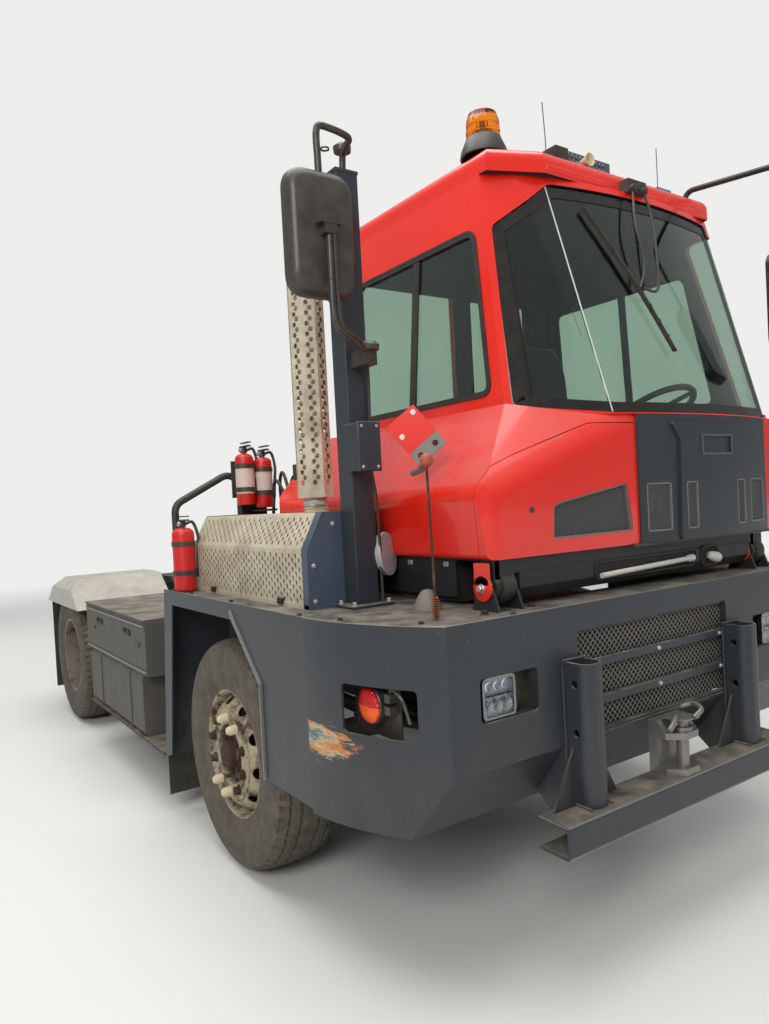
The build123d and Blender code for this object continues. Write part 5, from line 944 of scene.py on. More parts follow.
tinted = clear("tinted_safety_glass", "bccfc3")
finish(tinted, "windscreen", "side_glass", "door_glass")
frit = plastic("black_ceramic_band", "0b0c0e", 0.25, 0.12)
screen_outline = rounded([(-0.362, 1.985), (0, 1.945), (1.085, 1.945), (1.105, 2.945), (-0.02, 2.945),
                          (-0.297, 2.758)], 0.03)
band = rim_of(divided(screen_outline, 0.03), 0.045, on_screen(0.001), 0.0012)
strip_z = np.linspace(1.99, 2.80, 24)
strip_x = np.stack([-0.352 + (strip_z - 1.99) * 0.07, -0.285 + (strip_z - 1.99) * 0.055], axis=-1)
strip_pairs = np.stack([strip_x, np.repeat(strip_z[:, None], 2, axis=1)], axis=-1).reshape(-1, 2)
strip = on_screen(0.0012)(strip_pairs, np.zeros(len(strip_pairs))), [grid_faces(24, 2)]
piece("screen_ceramic_bands", band, frit, "cab")
strip_piece = piece("corner_ceramic_strip", strip, frit, "cab")
strip_piece.modifiers.new("gauge", "SOLIDIFY").thickness = 0.001
seam_z = np.linspace(1.95, 2.955, 30)
seam_x = -0.007 - (seam_z - 1.9) * 0.0226
seam_path = np.stack([seam_x, pane_y(seam_x, seam_z) - 0.001, seam_z], axis=-1)
bead_white = plastic("pale_glass_bead", "c9ccc8", 0.35, 0.1)
piece("screen_seam_bead", sweep(seam_path, ring_of(0.0032, 8)), bead_white, "cab")
seal = plastic("black_window_rubber", "0e0f10", 0.5, 0.2)
window_outline = rounded([(AXLE_Y - 1.0, 2.04), (AXLE_Y + 0.06, 2.04), (AXLE_Y + 0.06, 2.77), (AXLE_Y - 0.87, 2.77)],
                         0.07, 8)
divider = rectangle(AXLE_Y - 0.475, 2.05, AXLE_Y - 0.43, 2.76)
seals = []
for plane in (RIGHT_SIDE, LEFT_SIDE):
    lay = on_side(plane, PANE_DEPTH - 0.0005)
    seals += [rim_of(window_outline, SEAL_W, lay, 0.012), rim_of(window_outline, 0.011, on_side(plane, 0.0), 0.004)]
    pairs = np.array(divider)
    near, far = lay(pairs, np.zeros(4)), lay(pairs, np.full(4, 0.009))
    seals.append((np.concatenate([near, far]), [grid_faces(2, 4, wrap_columns=True),
                                                np.array([[0, 1, 2, 3], [4, 5, 6, 7]])]))
piece("side_window_seals", seals, seal, "cab")


# Cab lining: dark grey trim covers the inside of the walls, the roof and the door, up to the door's hinge side.
# The dash and the steering wheel are black plastic.
def lined(material, centre, trim, rear_y):
    """Gives the faces that look towards centre, ahead of rear_y, the colour and dullness of the trim."""
    tree, shader, here = parts_of(material)
    away = add(tree, "VectorMath", {0: here, 1: centre}, operation="SUBTRACT")
    facing = add(tree, "VectorMath", {0: away, 1: here.node.outputs["Normal"]}, "Value", operation="DOT_PRODUCT")
    inwards = add(tree, "Math", {0: facing, 1: 0.0}, operation="LESS_THAN")
    lengthways = add(tree, "SeparateXYZ", {"Vector": here}, "Y")
    ahead_of = add(tree, "Math", {0: lengthways, 1: rear_y}, operation="LESS_THAN")
    inside = add(tree, "Math", {0: inwards, 1: ahead_of}, operation="MULTIPLY")
    for name, value in (("Base Color", linear(trim)), ("Roughness", 0.8), ("Coat Weight", 0.0)):
        old = shader.inputs[name]
        source = old.links[0].from_socket if old.is_linked else old.default_value
        first, second, out, kind = (6, 7, 2, "RGBA") if name == "Base Color" else (2, 3, 0, "FLOAT")
        mixed = add(tree, "Mix", {0: inside, first: source, second: value}, out, data_type=kind)
        join(tree, shader, {name: mixed})
    return material


TRIM = "1c1d20"
CAB_REAR_Y = AXLE_Y + 0.15
body_enamel = lined(enamel("red_body_enamel", RED, 0.2, 0.3, chips=0.66, splash_top=0.2, coat=0.5),
                    (0.45, -1.75, 1.60), TRIM, CAB_REAR_Y - 0.004)
frame_enamel = lined(enamel("red_frame_enamel", RED, 0.2, 0.3, chips=0.66, splash_top=0.2, coat=0.5),
                     (0.40, -1.75, 2.45), TRIM, CAB_REAR_Y - 0.004)
finish(body_enamel, "cab_body")
finish(frame_enamel, "cab_frame", "cab_roof", "rear_door")
finish(black_plastic, "console")


# Cab front: black beam with a slot for the white prop bar and a notch for a pale knob, and the tilt pivots, each a
# red arm with a bright bolt in a rubber ring between two black cheeks. A small black latch sits in the red panel.
TILT = (AXLE_Y - 1.25, 1.31)
beam_black = enamel("dusty_black_beam", "1d1e20", 0.42, 0.8, chips=0.7)
finish(beam_black, "cab_beam", "cab_mounts")
beam_face = TILT[0] - 0.045
slot_outline = rounded([(-0.17, 1.292), (0.47, 1.292), (0.49, 1.352), (-0.17, 1.352)], 0.012)
notch = rounded(rectangle(0.53, 1.28, 0.66, 1.36), 0.035)
at_beam = front_lay(beam_face - 0.0005)
# The slot and the notch are not cut: near-black plates on the beam's face paint their depth as shade.
slots = [front_plate(outline, beam_face - 0.001, 0.002) for outline in (slot_outline, notch)]
piece("beam_slot_painted_shade", slots, painted_shade_plate, "cab", angle=0.3)
piece("beam_slot_rims", [rim_of(outline, -0.006, at_beam, 0.004) for outline in (slot_outline, notch)], beam_black,
      "cab")
white_bar = sweep([(-0.15, beam_face - 0.012, 1.302), (0.15, beam_face - 0.012, 1.312),
                   (0.45, beam_face - 0.012, 1.322)], ring_of(0.011, 16))
knob = lathe([(0, 0), (0, 0.014), (0.02, 0.022), (0.045, 0.024), (0.06, 0.016), (0.064, 0)],
             (0.57, beam_face - 0.008, 1.325), (0.8, -0.45, -0.3), 24)
collar = lathe([(0, 0.011), (0, 0.016), (0.03, 0.016), (0.03, 0.011)], (0.42, beam_face - 0.012, 1.321), (1, 0, 0.03),
               16)
pale = plastic("pale_painted_bar", "c6c3ba", 0.4, 0.3)
piece("prop_bar_and_knob", [white_bar, knob, collar], pale, "cab")
rings, arms, bolts = [], [], []
for low_x in (-0.698, 0.94):
    rings.append(lathe([(0, 0.038), (0, 0.056), (0.014, 0.060), (0.05, 0.060), (0.064, 0.056), (0.064, 0.038)],
                       (low_x + 0.03, *TILT), TO_LEFT, 40))
    arms.append(lathe([(0, 0), (0, 0.044), (0.022, 0.046), (0.03, 0.046), (0.03, 0)], (low_x + 0.001, *TILT), TO_LEFT,
                      40))
    arms.append(box_shape((low_x + 0.002, TILT[0] - 0.04, TILT[1] + 0.02), (low_x + 0.028, TILT[0] + 0.028, 1.41)))
    arms.append(lathe([(0, 0), (0, 0.046), (0.010, 0.048), (0.012, 0.044), (0.012, 0)], (low_x - 0.014, *TILT),
                      TO_RIGHT, 40))
    arms.append(box_shape((low_x - 0.026, TILT[0] - 0.036, TILT[1] + 0.01), (low_x - 0.014, TILT[0] + 0.040, 1.40)))
    bolts.append(hex_nut((low_x - 0.026, *TILT), TO_RIGHT, 0.024, 0.016))
piece("pivot_rubber_rings", rings, black_rubber, "cab")
piece("pivot_red_arms", arms, cab_enamel, "cab", bevel=0.002)
piece("pivot_bolts", bolts, bright_steel, "chassis", angle=0.4)
latch = box_shape((-0.528, FRONT_WALL_Y - 0.004, 1.568), (-0.508, FRONT_WALL_Y + 0.004, 1.588))
rail = box_shape((SCREEN_X - 0.53, FRONT_WALL_Y - 0.012, 1.398), (SCREEN_X + 0.49, FRONT_WALL_Y + 0.006, 1.412))
piece("panel_latch_and_edge", [latch, rail], black_plastic, "cab", bevel=0.002)
plate_frame = rounded(rectangle(0.455, 1.765, 0.685, 1.855), 0.008)
piece("blank_name_plate", [rim_of(plate_frame, 0.010, on_panel(-0.012), 0.005)], slate_blue, "cab", bevel=0.001)
skirt_x = -0.69
pads = [box_shape((skirt_x - 0.004, AXLE_Y + y, 1.375), (skirt_x, AXLE_Y + y + 0.03, 1.395))
        for y in (-1.03, -0.8, -0.6)]
# The near-black plates along the bay under the cab front are painted shade.
lining = [box_shape((-0.66, TILT[0] + 0.19, 1.242), (1.02, TILT[0] + 0.196, 1.50)),
          box_shape((-0.666, TILT[0] + 0.19, 1.242), (-0.66, AXLE_Y - 0.2, 1.40))]
piece("bay_painted_shade_lining", lining, painted_shade_plate, "cab", bevel=0.002)
piece("skirt_clips", pads, bright_steel, "cab", bevel=0.002)


# Roof gear: a ribbed amber beacon on a dark skirt over a bent bracket, a bar of light-emitting diodes, a cream horn,
# two thin antennas and a blue box. The screen wiper hangs from the header on two thin arms.
ROOF_TOP = 3.1
beacon_low, beacon_high = map(np.array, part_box("beacon"))
spot = (beacon_low + beacon_high) / 2
top = beacon_high[2]
turn = np.arange(72) / 72 * 2 * np.pi
lens_z = np.array([0, 0.004, 0.028, 0.032, 0.036, 0.060, 0.064, 0.068, 0.092, 0.098, 0.122, 0.134, 0.138])
lens_r = np.array([0.072, 0.075, 0.074, 0.070, 0.0735, 0.0725, 0.069, 0.072, 0.071, 0.068, 0.062, 0.040, 0.0])
flutes = 1 + 0.02 * np.cos(turn * 24)[:, None] * (lens_z < 0.1)[None, :]
around = lens_r[None, :] * flutes
lens_points = np.stack([spot[0] + around * np.cos(turn)[:, None], spot[1] + around * np.sin(turn)[:, None],
                        np.broadcast_to(top - 0.14 + lens_z, around.shape)], axis=-1)
amber = clear("amber_beacon_lens", "ff8a08", 0.08)
piece("beacon_lens", (lens_points.reshape(-1, 3), [grid_faces(72, len(lens_z), wrap_rows=True)]), amber, "cab",
      ["beacon"])
skirt = lathe([(0.0, 0.096), (0.002, 0.105), (0.03, 0.1), (0.075, 0.08), (0.085, 0.074), (0.088, 0.0), (0.0, 0.0)],
              (spot[0], spot[1], beacon_low[2] + 0.012), UP, 48)
stem = [lathe([(0, 0), (0, 0.02), (0.03, 0.02), (0.03, 0)], (spot[0], spot[1], beacon_low[2] - 0.02), UP, 16),
        box_shape((spot[0] - 0.05, spot[1] - 0.04, beacon_low[2] - 0.022),
                  (spot[0] + 0.05, spot[1] + 0.04, beacon_low[2] - 0.014))]
bulb = lathe([(0, 0), (0, 0.03), (0.05, 0.03), (0.06, 0.012), (0.08, 0.012), (0.084, 0)],
             (spot[0], spot[1], top - 0.138), UP, 24)
piece("beacon_bulb", bulb, chrome, "cab")
cable = sweep(route([(spot[0] + 0.04, spot[1] - 0.03, 3.11), (spot[0] + 0.07, spot[1] - 0.08, 3.125),
                     (spot[0] + 0.12, spot[1] - 0.05, 3.108),
                     (spot[0] + 0.2, spot[1] - 0.06, 3.108), (0.12, AXLE_Y - 0.93, 3.112)]), ring_of(0.005, 8))
box_low, box_high = map(np.array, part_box("light_bar"))
shade = box_shape((box_low[0] - 0.05, box_low[1] - 0.02, ROOF_TOP), (box_low[0] + 0.03, box_high[1] + 0.03, 3.165))
antennas = [sweep([(x, AXLE_Y - 0.93, ROOF_TOP), (x, AXLE_Y - 0.93, 3.2), (x + lean, AXLE_Y - 0.93, 3.2 + height)],
                  ring_of(0.0022, 6))
            for x, lean, height in ((0.06, -0.01, 0.16), (0.86, 0.0, 0.14))]
bases = [lathe([(0, 0), (0, 0.02), (0.01, 0.02), (0.02, 0.012), (0.03, 0.004), (0.03, 0)],
               (x, AXLE_Y - 0.93, ROOF_TOP), UP, 16) for x in (0.06, 0.86)]
piece("roof_black_gear", [skirt, *stem, cable, shade, *antennas, *bases], black_plastic, "cab")
bar_body = box_shape(box_low + [0, 0.01, 0.018], box_high)
feet = [box_shape((x, box_low[1] + 0.015, ROOF_TOP), (x + 0.03, box_high[1] - 0.005, box_low[2] + 0.02))
        for x in (box_low[0] + 0.05, box_high[0] - 0.08)]
cells = [lathe([(0.006, 0.004), (0, 0.0125), (-0.002, 0.0125), (-0.002, 0)],
               (box_low[0] + 0.018 + 0.0265 * column, box_low[1] + 0.008, box_low[2] + 0.03 + 0.027 * row),
               TO_REAR, 12) for column in range(12) for row in range(2)]
piece("diode_bar", [bar_body, *feet, *cells], chrome, "cab", ["light_bar"], bevel=0.002)
horn = [lathe([(0, 0.03), (0.01, 0.026), (0.03, 0.014), (0.07, 0.008), (0.09, 0.008), (0.09, 0), (0.085, 0.006),
               (0.01, 0.022), (0, 0.027), (0, 0.03)],
              (0.27, AXLE_Y - 1.0, 3.13), TO_REAR, 24)]
piece("roof_horn", horn, cap_plastic, "cab")
blue_box = box_shape((0.9, AXLE_Y - 0.9, ROOF_TOP), (1.02, AXLE_Y - 0.74, 3.17))
piece("roof_blue_box", blue_box, plastic("blue_plastic_box", "2c7fa8", 0.4, 0.2), "cab", bevel=0.006)
rim_bar = box_shape((-0.05, AXLE_Y - 1.034, 3.002), (1.115, AXLE_Y - 1.022, 3.03))
piece("roof_front_lip", rim_bar, cab_enamel, "cab", bevel=0.004)


def before_screen(x, z, off):
    """Point ahead of the front glass."""
    return np.array([x, pane_y(np.array(x), np.array(z), 0.0) - off, z])


blade_ends = [before_screen(0.12, 2.86, 0.016), before_screen(0.30, 2.50, 0.018), before_screen(0.42, 2.22, 0.016)]
blade_path = route(blade_ends, 12)
spine = sweep(blade_path, rectangle(-0.004, -0.004, 0.004, 0.005), reference=(0, -1, 0.28))
lip = sweep(blade_path + [0, 0.010, 0], rectangle(-0.0015, -0.006, 0.0015, 0.004), reference=(0, -1, 0.28))
clips = [box_shape(point - 0.007, point + 0.007) for point in blade_path[3:-3:3]]
arm_paths = [route([before_screen(0.44, 2.99, 0.030), before_screen(0.37, 2.80, 0.040),
                    before_screen(0.355, 2.62, 0.040), before_screen(0.30, 2.50, 0.026)]),
             route([before_screen(0.52, 2.99, 0.030), before_screen(0.50, 2.85, 0.040),
                    before_screen(0.45, 2.66, 0.040), before_screen(0.40, 2.50, 0.030),
                    before_screen(0.31, 2.50, 0.028)])]
arms = [sweep(path, ring_of(0.006, 10)) for path in arm_paths]
gearbox = [box_shape((0.42, AXLE_Y - 1.085, 2.985), (0.55, AXLE_Y - 1.03, 3.045)),
           lathe([(0, 0), (0, 0.018), (0.02, 0.016), (0.024, 0)], (0.44, AXLE_Y - 1.085, 3.0), TO_FRONT, 20),
           lathe([(0, 0), (0, 0.018), (0.02, 0.016), (0.024, 0)], (0.52, AXLE_Y - 1.085, 3.0), TO_FRONT, 20)]
piece("screen_wiper", [spine, lip, *clips, *arms, *gearbox], black_plastic, "cab", ["wiper"])


# Deck gear: a bent handrail in worn brown-black paint, and three dry-powder extinguishers with black valves, gauges,
# hoses and straps: one on the deck's edge and a pair strapped high beside the rail, with an orange box at their foot.
rail_y = AXLE_Y + 0.62
rail_paint = worn_paint("worn_rail_paint", "2a2723", "6a5a48", 0.6, 0.5)
finish(rail_paint, "handrail")
rail_feet = [lathe([(0, 0), (0, 0.045), (0.008, 0.045), (0.01, 0.02), (0.01, 0)], (x, rail_y, DECK_TOP), UP, 24)
             for x in (-1.174, -0.806)]
piece("handrail_feet", rail_feet, rail_paint, "chassis", angle=0.4)


def extinguisher(x, y, z, radius, height):
    """Bottle with a domed top: its red shape, the black ones of its valve, two levers, hose and straps, and the
    bright gauge."""
    dome = np.linspace(0, np.pi / 2, 8)
    side_profile = [(0, 0), (0, radius * 0.9), (0.008, radius), (height - radius * 0.7, radius)]
    cap_profile = [(height - radius * 0.7 + radius * 0.62 * np.sin(t), radius * (0.25 + 0.75 * np.cos(t)))
                   for t in dome[1:]]
    bottle = lathe([*side_profile, *cap_profile, (height, radius * 0.25), (height, 0)], (x, y, z), UP, 40)
    top = z + height
    valve = [lathe([(0, 0), (0, 0.018), (0.028, 0.018), (0.032, 0.012), (0.032, 0)], (x, y, top), UP, 16),
             box_shape((x - 0.012, y - 0.07, top + 0.03), (x + 0.012, y + 0.03, top + 0.038)),
             box_shape((x - 0.010, y - 0.08, top + 0.05), (x + 0.010, y + 0.02, top + 0.056))]
    hose = sweep(route([(x + 0.016, y, top + 0.015), (x + 0.055, y, top + 0.02),
                        (x + radius + 0.02, y - 0.01, top - 0.06), (x + radius + 0.012, y - 0.01, z + height * 0.45),
                        (x + radius + 0.008, y - 0.01, z + height * 0.2)]), ring_of(0.008, 10))
    strap = [lathe([(0, radius), (0, radius + 0.004), (0.024, radius + 0.004), (0.024, radius)],
                   (x, y, z + height * share), UP, 40)
             for share in (0.25, 0.7)]
    gauge = lathe([(0, 0), (0, 0.013), (0.01, 0.013), (0.012, 0)], (x - 0.016, y - 0.004, top + 0.014), TO_RIGHT, 16)
    return bottle, [*valve, hose, *strap], gauge


bottles = [extinguisher(-1.168, rail_y - 0.082, 1.232, 0.056, 0.33),
           extinguisher(-0.806, rail_y - 0.08, 1.66, 0.05, 0.28),
           extinguisher(-0.70, rail_y - 0.08, 1.64, 0.05, 0.28)]
bottle_red = enamel("red_extinguisher_enamel", "b01511", 0.3, 0.25, chips=0.7, splash_top=0.2)
piece("extinguisher_bottles", [red for red, _, _ in bottles], bottle_red, "chassis", ["extinguishers"])
cradle = [box_shape((-0.86, rail_y - 0.03, 1.70), (-0.65, rail_y - 0.019, 1.90)),
          box_shape((-0.75, rail_y - 0.135, 1.62), (-0.65, rail_y - 0.02, 1.632))]
piece("extinguisher_valves", [shape for _, blacks, _ in bottles for shape in blacks] + cradle, black_plastic,
      "chassis")
piece("extinguisher_gauges", [gauge for _, _, gauge in bottles], bright_steel, "chassis")
labels = [lathe([(0, 0.0502), (0, 0.0506), (0.14, 0.0506), (0.14, 0.0502)], (x, rail_y - 0.08, 1.72), UP, 40)
          for x in (-0.806, -0.70)]
piece("extinguisher_labels", labels, plastic("faded_blank_label", "c9b8ae", 0.6, 0.3), "chassis")
orange = box_shape((-0.79, rail_y - 0.08, 1.50), (-0.71, rail_y, 1.60))
piece("orange_box", orange, plastic("orange_plastic", "d8631c", 0.45, 0.3), "chassis", bevel=0.006)
piece("orange_box_stay", box_shape((-0.80, rail_y - 0.004, 1.48), (-0.65, rail_y + 0.008, 1.72)), black_paint,
      "chassis", bevel=0.002)


# Air and hydraulic lines behind the cab: black rubber hoses in soft loops from the cab's tail to the frame's coupling
# block, and a dark junction block on a bracket over the tail hood.
hose_runs = [route([(-0.60, AXLE_Y + 0.37, 1.58), (-0.60 + lean, AXLE_Y + 0.47, 1.70 + rise),
                    (-0.58 + lean, AXLE_Y + 0.56, 1.62 + rise),
                    (-0.56 + lean * 2, AXLE_Y + 0.54, 1.45), (-0.55 + lean * 2, AXLE_Y + 0.60, 1.30),
                    (-0.53 + lean, AXLE_Y + 0.62, 1.232)], 12)
             for lean, rise in ((-0.05, 0.08), (-0.01, 0.12), (0.03, 0.05), (0.06, 0.10), (0.09, 0.02))]
block_parts = [box_shape((-0.66, AXLE_Y + 0.33, 1.56), (-0.50, AXLE_Y + 0.372, 1.66)),
               box_shape((-0.62, AXLE_Y + 0.30, 1.745), (-0.50, AXLE_Y + 0.34, 1.86)),
               lathe([(0, 0), (0, 0.035), (0.06, 0.04), (0.07, 0.03), (0.07, 0)], (-0.56, AXLE_Y + 0.32, 1.85), UP,
                     24)]
piece("cab_tail_fittings", block_parts, black_plastic, "cab", bevel=0.003)
piece("tail_hoses", [sweep(run, ring_of(0.009, 10)) for run in hose_runs], black_rubber, "chassis")


# Marker plate and whisker: a red square plate with two white bolts, turned on its corner and bolted to a folded
# grey foot on the cab's shoulder. A thin rod with a brown ball, on a coppery spring, shows the driver the corner.
plate_seat = np.array([-0.775, AXLE_Y - 0.95, 1.905])
tilt = np.deg2rad(38)
u_axis = np.array([0.72, -0.69, 0.0])
u_axis /= np.linalg.norm(u_axis)
out_axis = np.cross(u_axis, UP)
along = u_axis * np.cos(tilt) + np.array([0, 0, 1]) * np.sin(tilt)
across = -u_axis * np.sin(tilt) + np.array([0, 0, 1]) * np.cos(tilt)
square = rounded(rectangle(-0.068, -0.068, 0.068, 0.068), 0.01)
piece("red_marker_plate", plate(square, plate_seat, along, across, out_axis * 0.004), cab_enamel, "cab", bevel=0.001)
foot_plate = rounded(rectangle(-0.068, -0.13, 0.068, -0.068), 0.008)
foot_shape = plate(foot_plate, plate_seat + out_axis * 0.002, along, across, out_axis * 0.005)
leg = sweep([plate_seat + along * -0.055 + across * -0.12,
             plate_seat + along * -0.07 + across * -0.14 - out_axis * 0.03,
             plate_seat + np.array([0, 0.02, -0.165]) - out_axis * 0.06], ring_of(0.012, 8))
piece("marker_foot", [foot_shape, leg], dull_steel("dull_grey_bracket", "7b7974", 0.5, 0.5, 0.5), "cab", bevel=0.001)
caps = [lathe([(0, 0), (0, 0.013), (0.007, 0.010), (0.009, 0)], plate_seat + along * a + across * b, out_axis, 16)
        for a, b in ((-0.045, 0.0), (0.048, 0.044))]
piece("marker_white_bolts", caps, plastic("white_bolt_caps", "d9d2cc", 0.4, 0.2), "cab")
dark_bolts = [hex_nut(plate_seat + along * a + across * -0.1 + out_axis * 0.006, out_axis, 0.016, 0.008)
              for a in (-0.036, 0.036)]
piece("marker_foot_bolts", dark_bolts, rusty_iron, "cab", angle=0.4)
WHISKER = (-0.942, AXLE_Y - 1.26)
coil_turn = np.linspace(0, 2 * np.pi * 9, 9 * 14)
coil = np.stack([WHISKER[0] + 0.011 * np.cos(coil_turn), WHISKER[1] + 0.011 * np.sin(coil_turn),
                 1.232 + 0.075 * coil_turn / coil_turn[-1]], axis=-1)
piece("whisker_spring", sweep(coil, ring_of(0.0022, 6)),
      dull_steel("copper_plated_spring", "a8642e", 0.35, 0.9, 0.35), "chassis")
rod = sweep([(*WHISKER, 1.232), (*WHISKER, 1.4), (WHISKER[0] - 0.004, WHISKER[1] + 0.004, 1.745)], ring_of(0.0045, 8))
piece("whisker_rod", rod, rusty_iron, "chassis")
ball_arc = np.linspace(0, np.pi, 14)
ball = lathe([(-0.024 * np.cos(t), 0.024 * np.sin(t)) for t in ball_arc],
             (WHISKER[0] - 0.004, WHISKER[1] + 0.004, 1.766), UP, 24)
piece("whisker_ball", ball, worn_paint("worn_red_ball", "a04a35", "6d4a35", 0.5, 0.5), "chassis")

# Small gear on the front deck: the back of a round work lamp beside the mast, and a cast grey hump.
lamp_back = lathe([(0, 0), (0.01, 0.06), (0.03, 0.085), (0.05, 0.09), (0.055, 0.088), (0.055, 0)],
                  (-0.80, mast[1] + 0.02, 1.42), (0.55, -0.8, 0.1), 40)
piece("grey_work_lamp", lamp_back, plastic("pale_grey_plastic", "a8a9ab", 0.5, 0.3), "chassis")
hump = lathe([(0, 0), (0.0, 0.055), (0.02, 0.05), (0.05, 0.035), (0.07, 0.02), (0.075, 0)],
             (-0.80, AXLE_Y - 1.03, DECK_TOP), UP, 24)
piece("grey_deck_hump", hump, dull_steel("cast_grey_hump", "77756d", 0.8, 0.2, 0.6), "chassis")


# Wear on the bumper and the push beam: bright rubbed edges on the lip and the beam, weld beads along their
# joints, and a long scrape on the right corner down to orange rust, teal primer and bare metal.
SCRAPE_STOPS = ((0.0, "24424c"), (0.40, "4d666b"), (0.47, "b9a583"), (0.55, "b8722f"), (1.0, "6b3d1e"))


def scraped(name, colour, centre, size):
    """Slate enamel with a scrape at centre: rough streaks of rust, pale metal and teal primer fade out over size."""
    material = enamel(name, colour, 0.34, 0.9)
    tree, shader, here = parts_of(material)
    away = add(tree, "VectorMath", {0: here, 1: centre}, operation="SUBTRACT")
    scaled = add(tree, "VectorMath", {0: away, 1: [1 / value for value in size]}, operation="MULTIPLY")
    reach = add(tree, "VectorMath", {0: scaled}, "Value", operation="LENGTH")
    stretched = add(tree, "Mapping", {"Vector": here, "Scale": (9, 9, 42)})
    ragged = add(tree, "TexNoise", {"Vector": stretched, "Scale": 1.0, "Detail": 9.0, "Roughness": 0.75})
    edge = add(tree, "Math", {0: ragged, 1: 2.4, 2: -1.15}, operation="MULTIPLY_ADD")
    depth = add(tree, "Math", {0: edge, 1: reach}, operation="SUBTRACT")
    mask = add(tree, "MapRange", {"Value": depth, "From Min": -0.75, "From Max": -0.6})
    tone = add(tree, "TexNoise", {"Vector": stretched, "Scale": 0.7, "Detail": 9.0, "Roughness": 0.7})
    colours = add(tree, "ValToRGB", {"Fac": tone})
    ramp = colours.node.color_ramp
    (first, low_end), *between, (last, high_end) = SCRAPE_STOPS
    ramp.elements[0].position, ramp.elements[0].color = first, linear(low_end)
    ramp.elements[1].position, ramp.elements[1].color = last, linear(high_end)
    for position, value in between:
        ramp.elements.new(position).color = linear(value)
    base = shader.inputs["Base Color"].links[0].from_socket
    mixed = add(tree, "Mix", {0: mask, 6: base, 7: colours}, 2, data_type="RGBA")
    join(tree, shader, {"Base Color": mixed})
    return material


finish(scraped("scraped_bumper_enamel", SLATE, (-1.215, AXLE_Y - 0.955, 0.815), (0.2, 0.2, 0.075)), "front_bumper")
rubbed = dull_steel("rubbed_steel_edge", "8f8f8c", 0.6, 0.7, 0.4)
lip_turn = np.linspace(0, 1, 20)
corner_start, corner_end = np.array([-1.2395, AXLE_Y - 0.87]), np.array([-1.048, AXLE_Y - 1.4435])
chord = corner_end - corner_start
outward = np.array([chord[1], -chord[0]]) / np.linalg.norm(chord)
half_chord = np.linalg.norm(chord) / 2
bow_radius = (half_chord ** 2 + 0.048 ** 2) / (2 * 0.048)
offset_along = (lip_turn - 0.5) * 2 * half_chord
bow = np.sqrt(bow_radius ** 2 - offset_along ** 2) - (bow_radius - 0.048)
arc = (corner_start + corner_end) / 2 + offset_along[:, None] * chord / np.linalg.norm(chord)
arc = (arc + bow[:, None] * outward * (1 if outward[0] < 0 else -1))[1:-1]
arc = np.concatenate([[(-1.2395, AXLE_Y - 0.875)], arc, [(-1.048, AXLE_Y - 1.4435), (1.048, AXLE_Y - 1.4435)],
                      arc[::-1] * [-1, 1], [(1.2395, AXLE_Y - 0.875)]])
lip_path = np.concatenate([arc, np.full((len(arc), 1), 1.2372)], axis=1)
lip_path[:, :2] *= 0.9985
piece("bumper_lip_edge", sweep(lip_path, ring_of(0.0028, 8), reference=UP), rubbed, "chassis")
beam_low, beam_high = map(np.array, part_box("push_beam"))
edges = [sweep([(beam_low[0], beam_low[1] + 0.004, z), (beam_high[0], beam_low[1] + 0.004, z)], ring_of(0.0035, 8))
         for z in (0.446, 0.549)]
edges += [sweep([(side * beam_high[0], beam_low[1] + 0.006, 0.548), (side * beam_high[0], face_y - 0.002, 0.552)],
                ring_of(0.003, 8)) for side in (-1, 1)]
piece("beam_worn_edges", edges, rubbed, "chassis")
bead_steps = np.linspace(0, 1, 60)
weld_paths = []
for side in (-1, 1):
    post_x = side * 0.486
    weld_paths += [np.stack([np.full(60, post_x + reach), face_y - 0.011 - bead_steps * 0.09, np.full(60, 0.557)],
                            axis=-1) for reach in (-0.053, 0.053)]
    weld_paths += [np.stack([np.full(60, post_x + reach), np.full(60, face_y - 0.004), 0.56 + bead_steps * 0.47],
                            axis=-1) for reach in (-0.062, 0.062)]
ripples = [sweep(path + 0.0009 * np.sin(bead_steps * 120)[:, None], ring_of(0.0045, 8)) for path in weld_paths]
piece("beam_weld_beads", ripples, slate_enamel, "chassis")
lever = [sweep(route([(-0.02, face_y - 0.085, 0.752), (-0.06, face_y - 0.10, 0.775), (-0.10, face_y - 0.12, 0.765),
                      (-0.135, face_y - 0.125, 0.745)], 8), ring_of(0.011, 12)),
         box_shape((-0.055, face_y - 0.13, 0.757), (0.05, face_y - 0.045, 0.766)),
         sweep(route([(0.01, face_y - 0.13, 0.766), (0.05, face_y - 0.135, 0.79), (0.07, face_y - 0.09, 0.80),
                      (0.05, face_y - 0.05, 0.785)], 8), ring_of(0.010, 12))]
cast_iron = dull_steel("worn_cast_iron", "8b8984", 0.4, 0.75, 0.35)
piece("towing_jaw_lever", lever, cast_iron, "chassis", bevel=0.002)
finish(cast_iron, "tow_coupling")


# Running gear and boxes: axles, springs and rods are black and dusty, the lift rods are chromed, the coupling
# plate is greased steel, the fenders are pale grey, and the boxes and the tank are brown with dust.
# A thin near-black plate behind the grille is painted shade for the dark space behind it.
grille_shade_plate = box_shape((-0.47, face_y + 0.05, 0.765), (0.47, face_y + 0.056, 1.15))
piece("grille_painted_shade_plate", grille_shade_plate, painted_shade_plate, "chassis", bevel=0.002)
gear_black = enamel("dusty_black_gear", "1f1e1c", 0.55, 0.9, splash_top=1.4)
finish(gear_black, "front_axle", "rear_axle", "leaf_springs", "tie_rod", "knuckle_right", "knuckle_left", "driveline",
       "lift_boom", "cylinder_barrels", "steps")
finish(black_rubber, "mudflaps")
finish(plastic("matt_black_radiator", "0c0d0e", 0.7, 0.3), "radiator")
finish(dull_steel("chromed_lift_rod", "dcdde0", 0.1, 1.0, 0.15), "cylinder_rods")
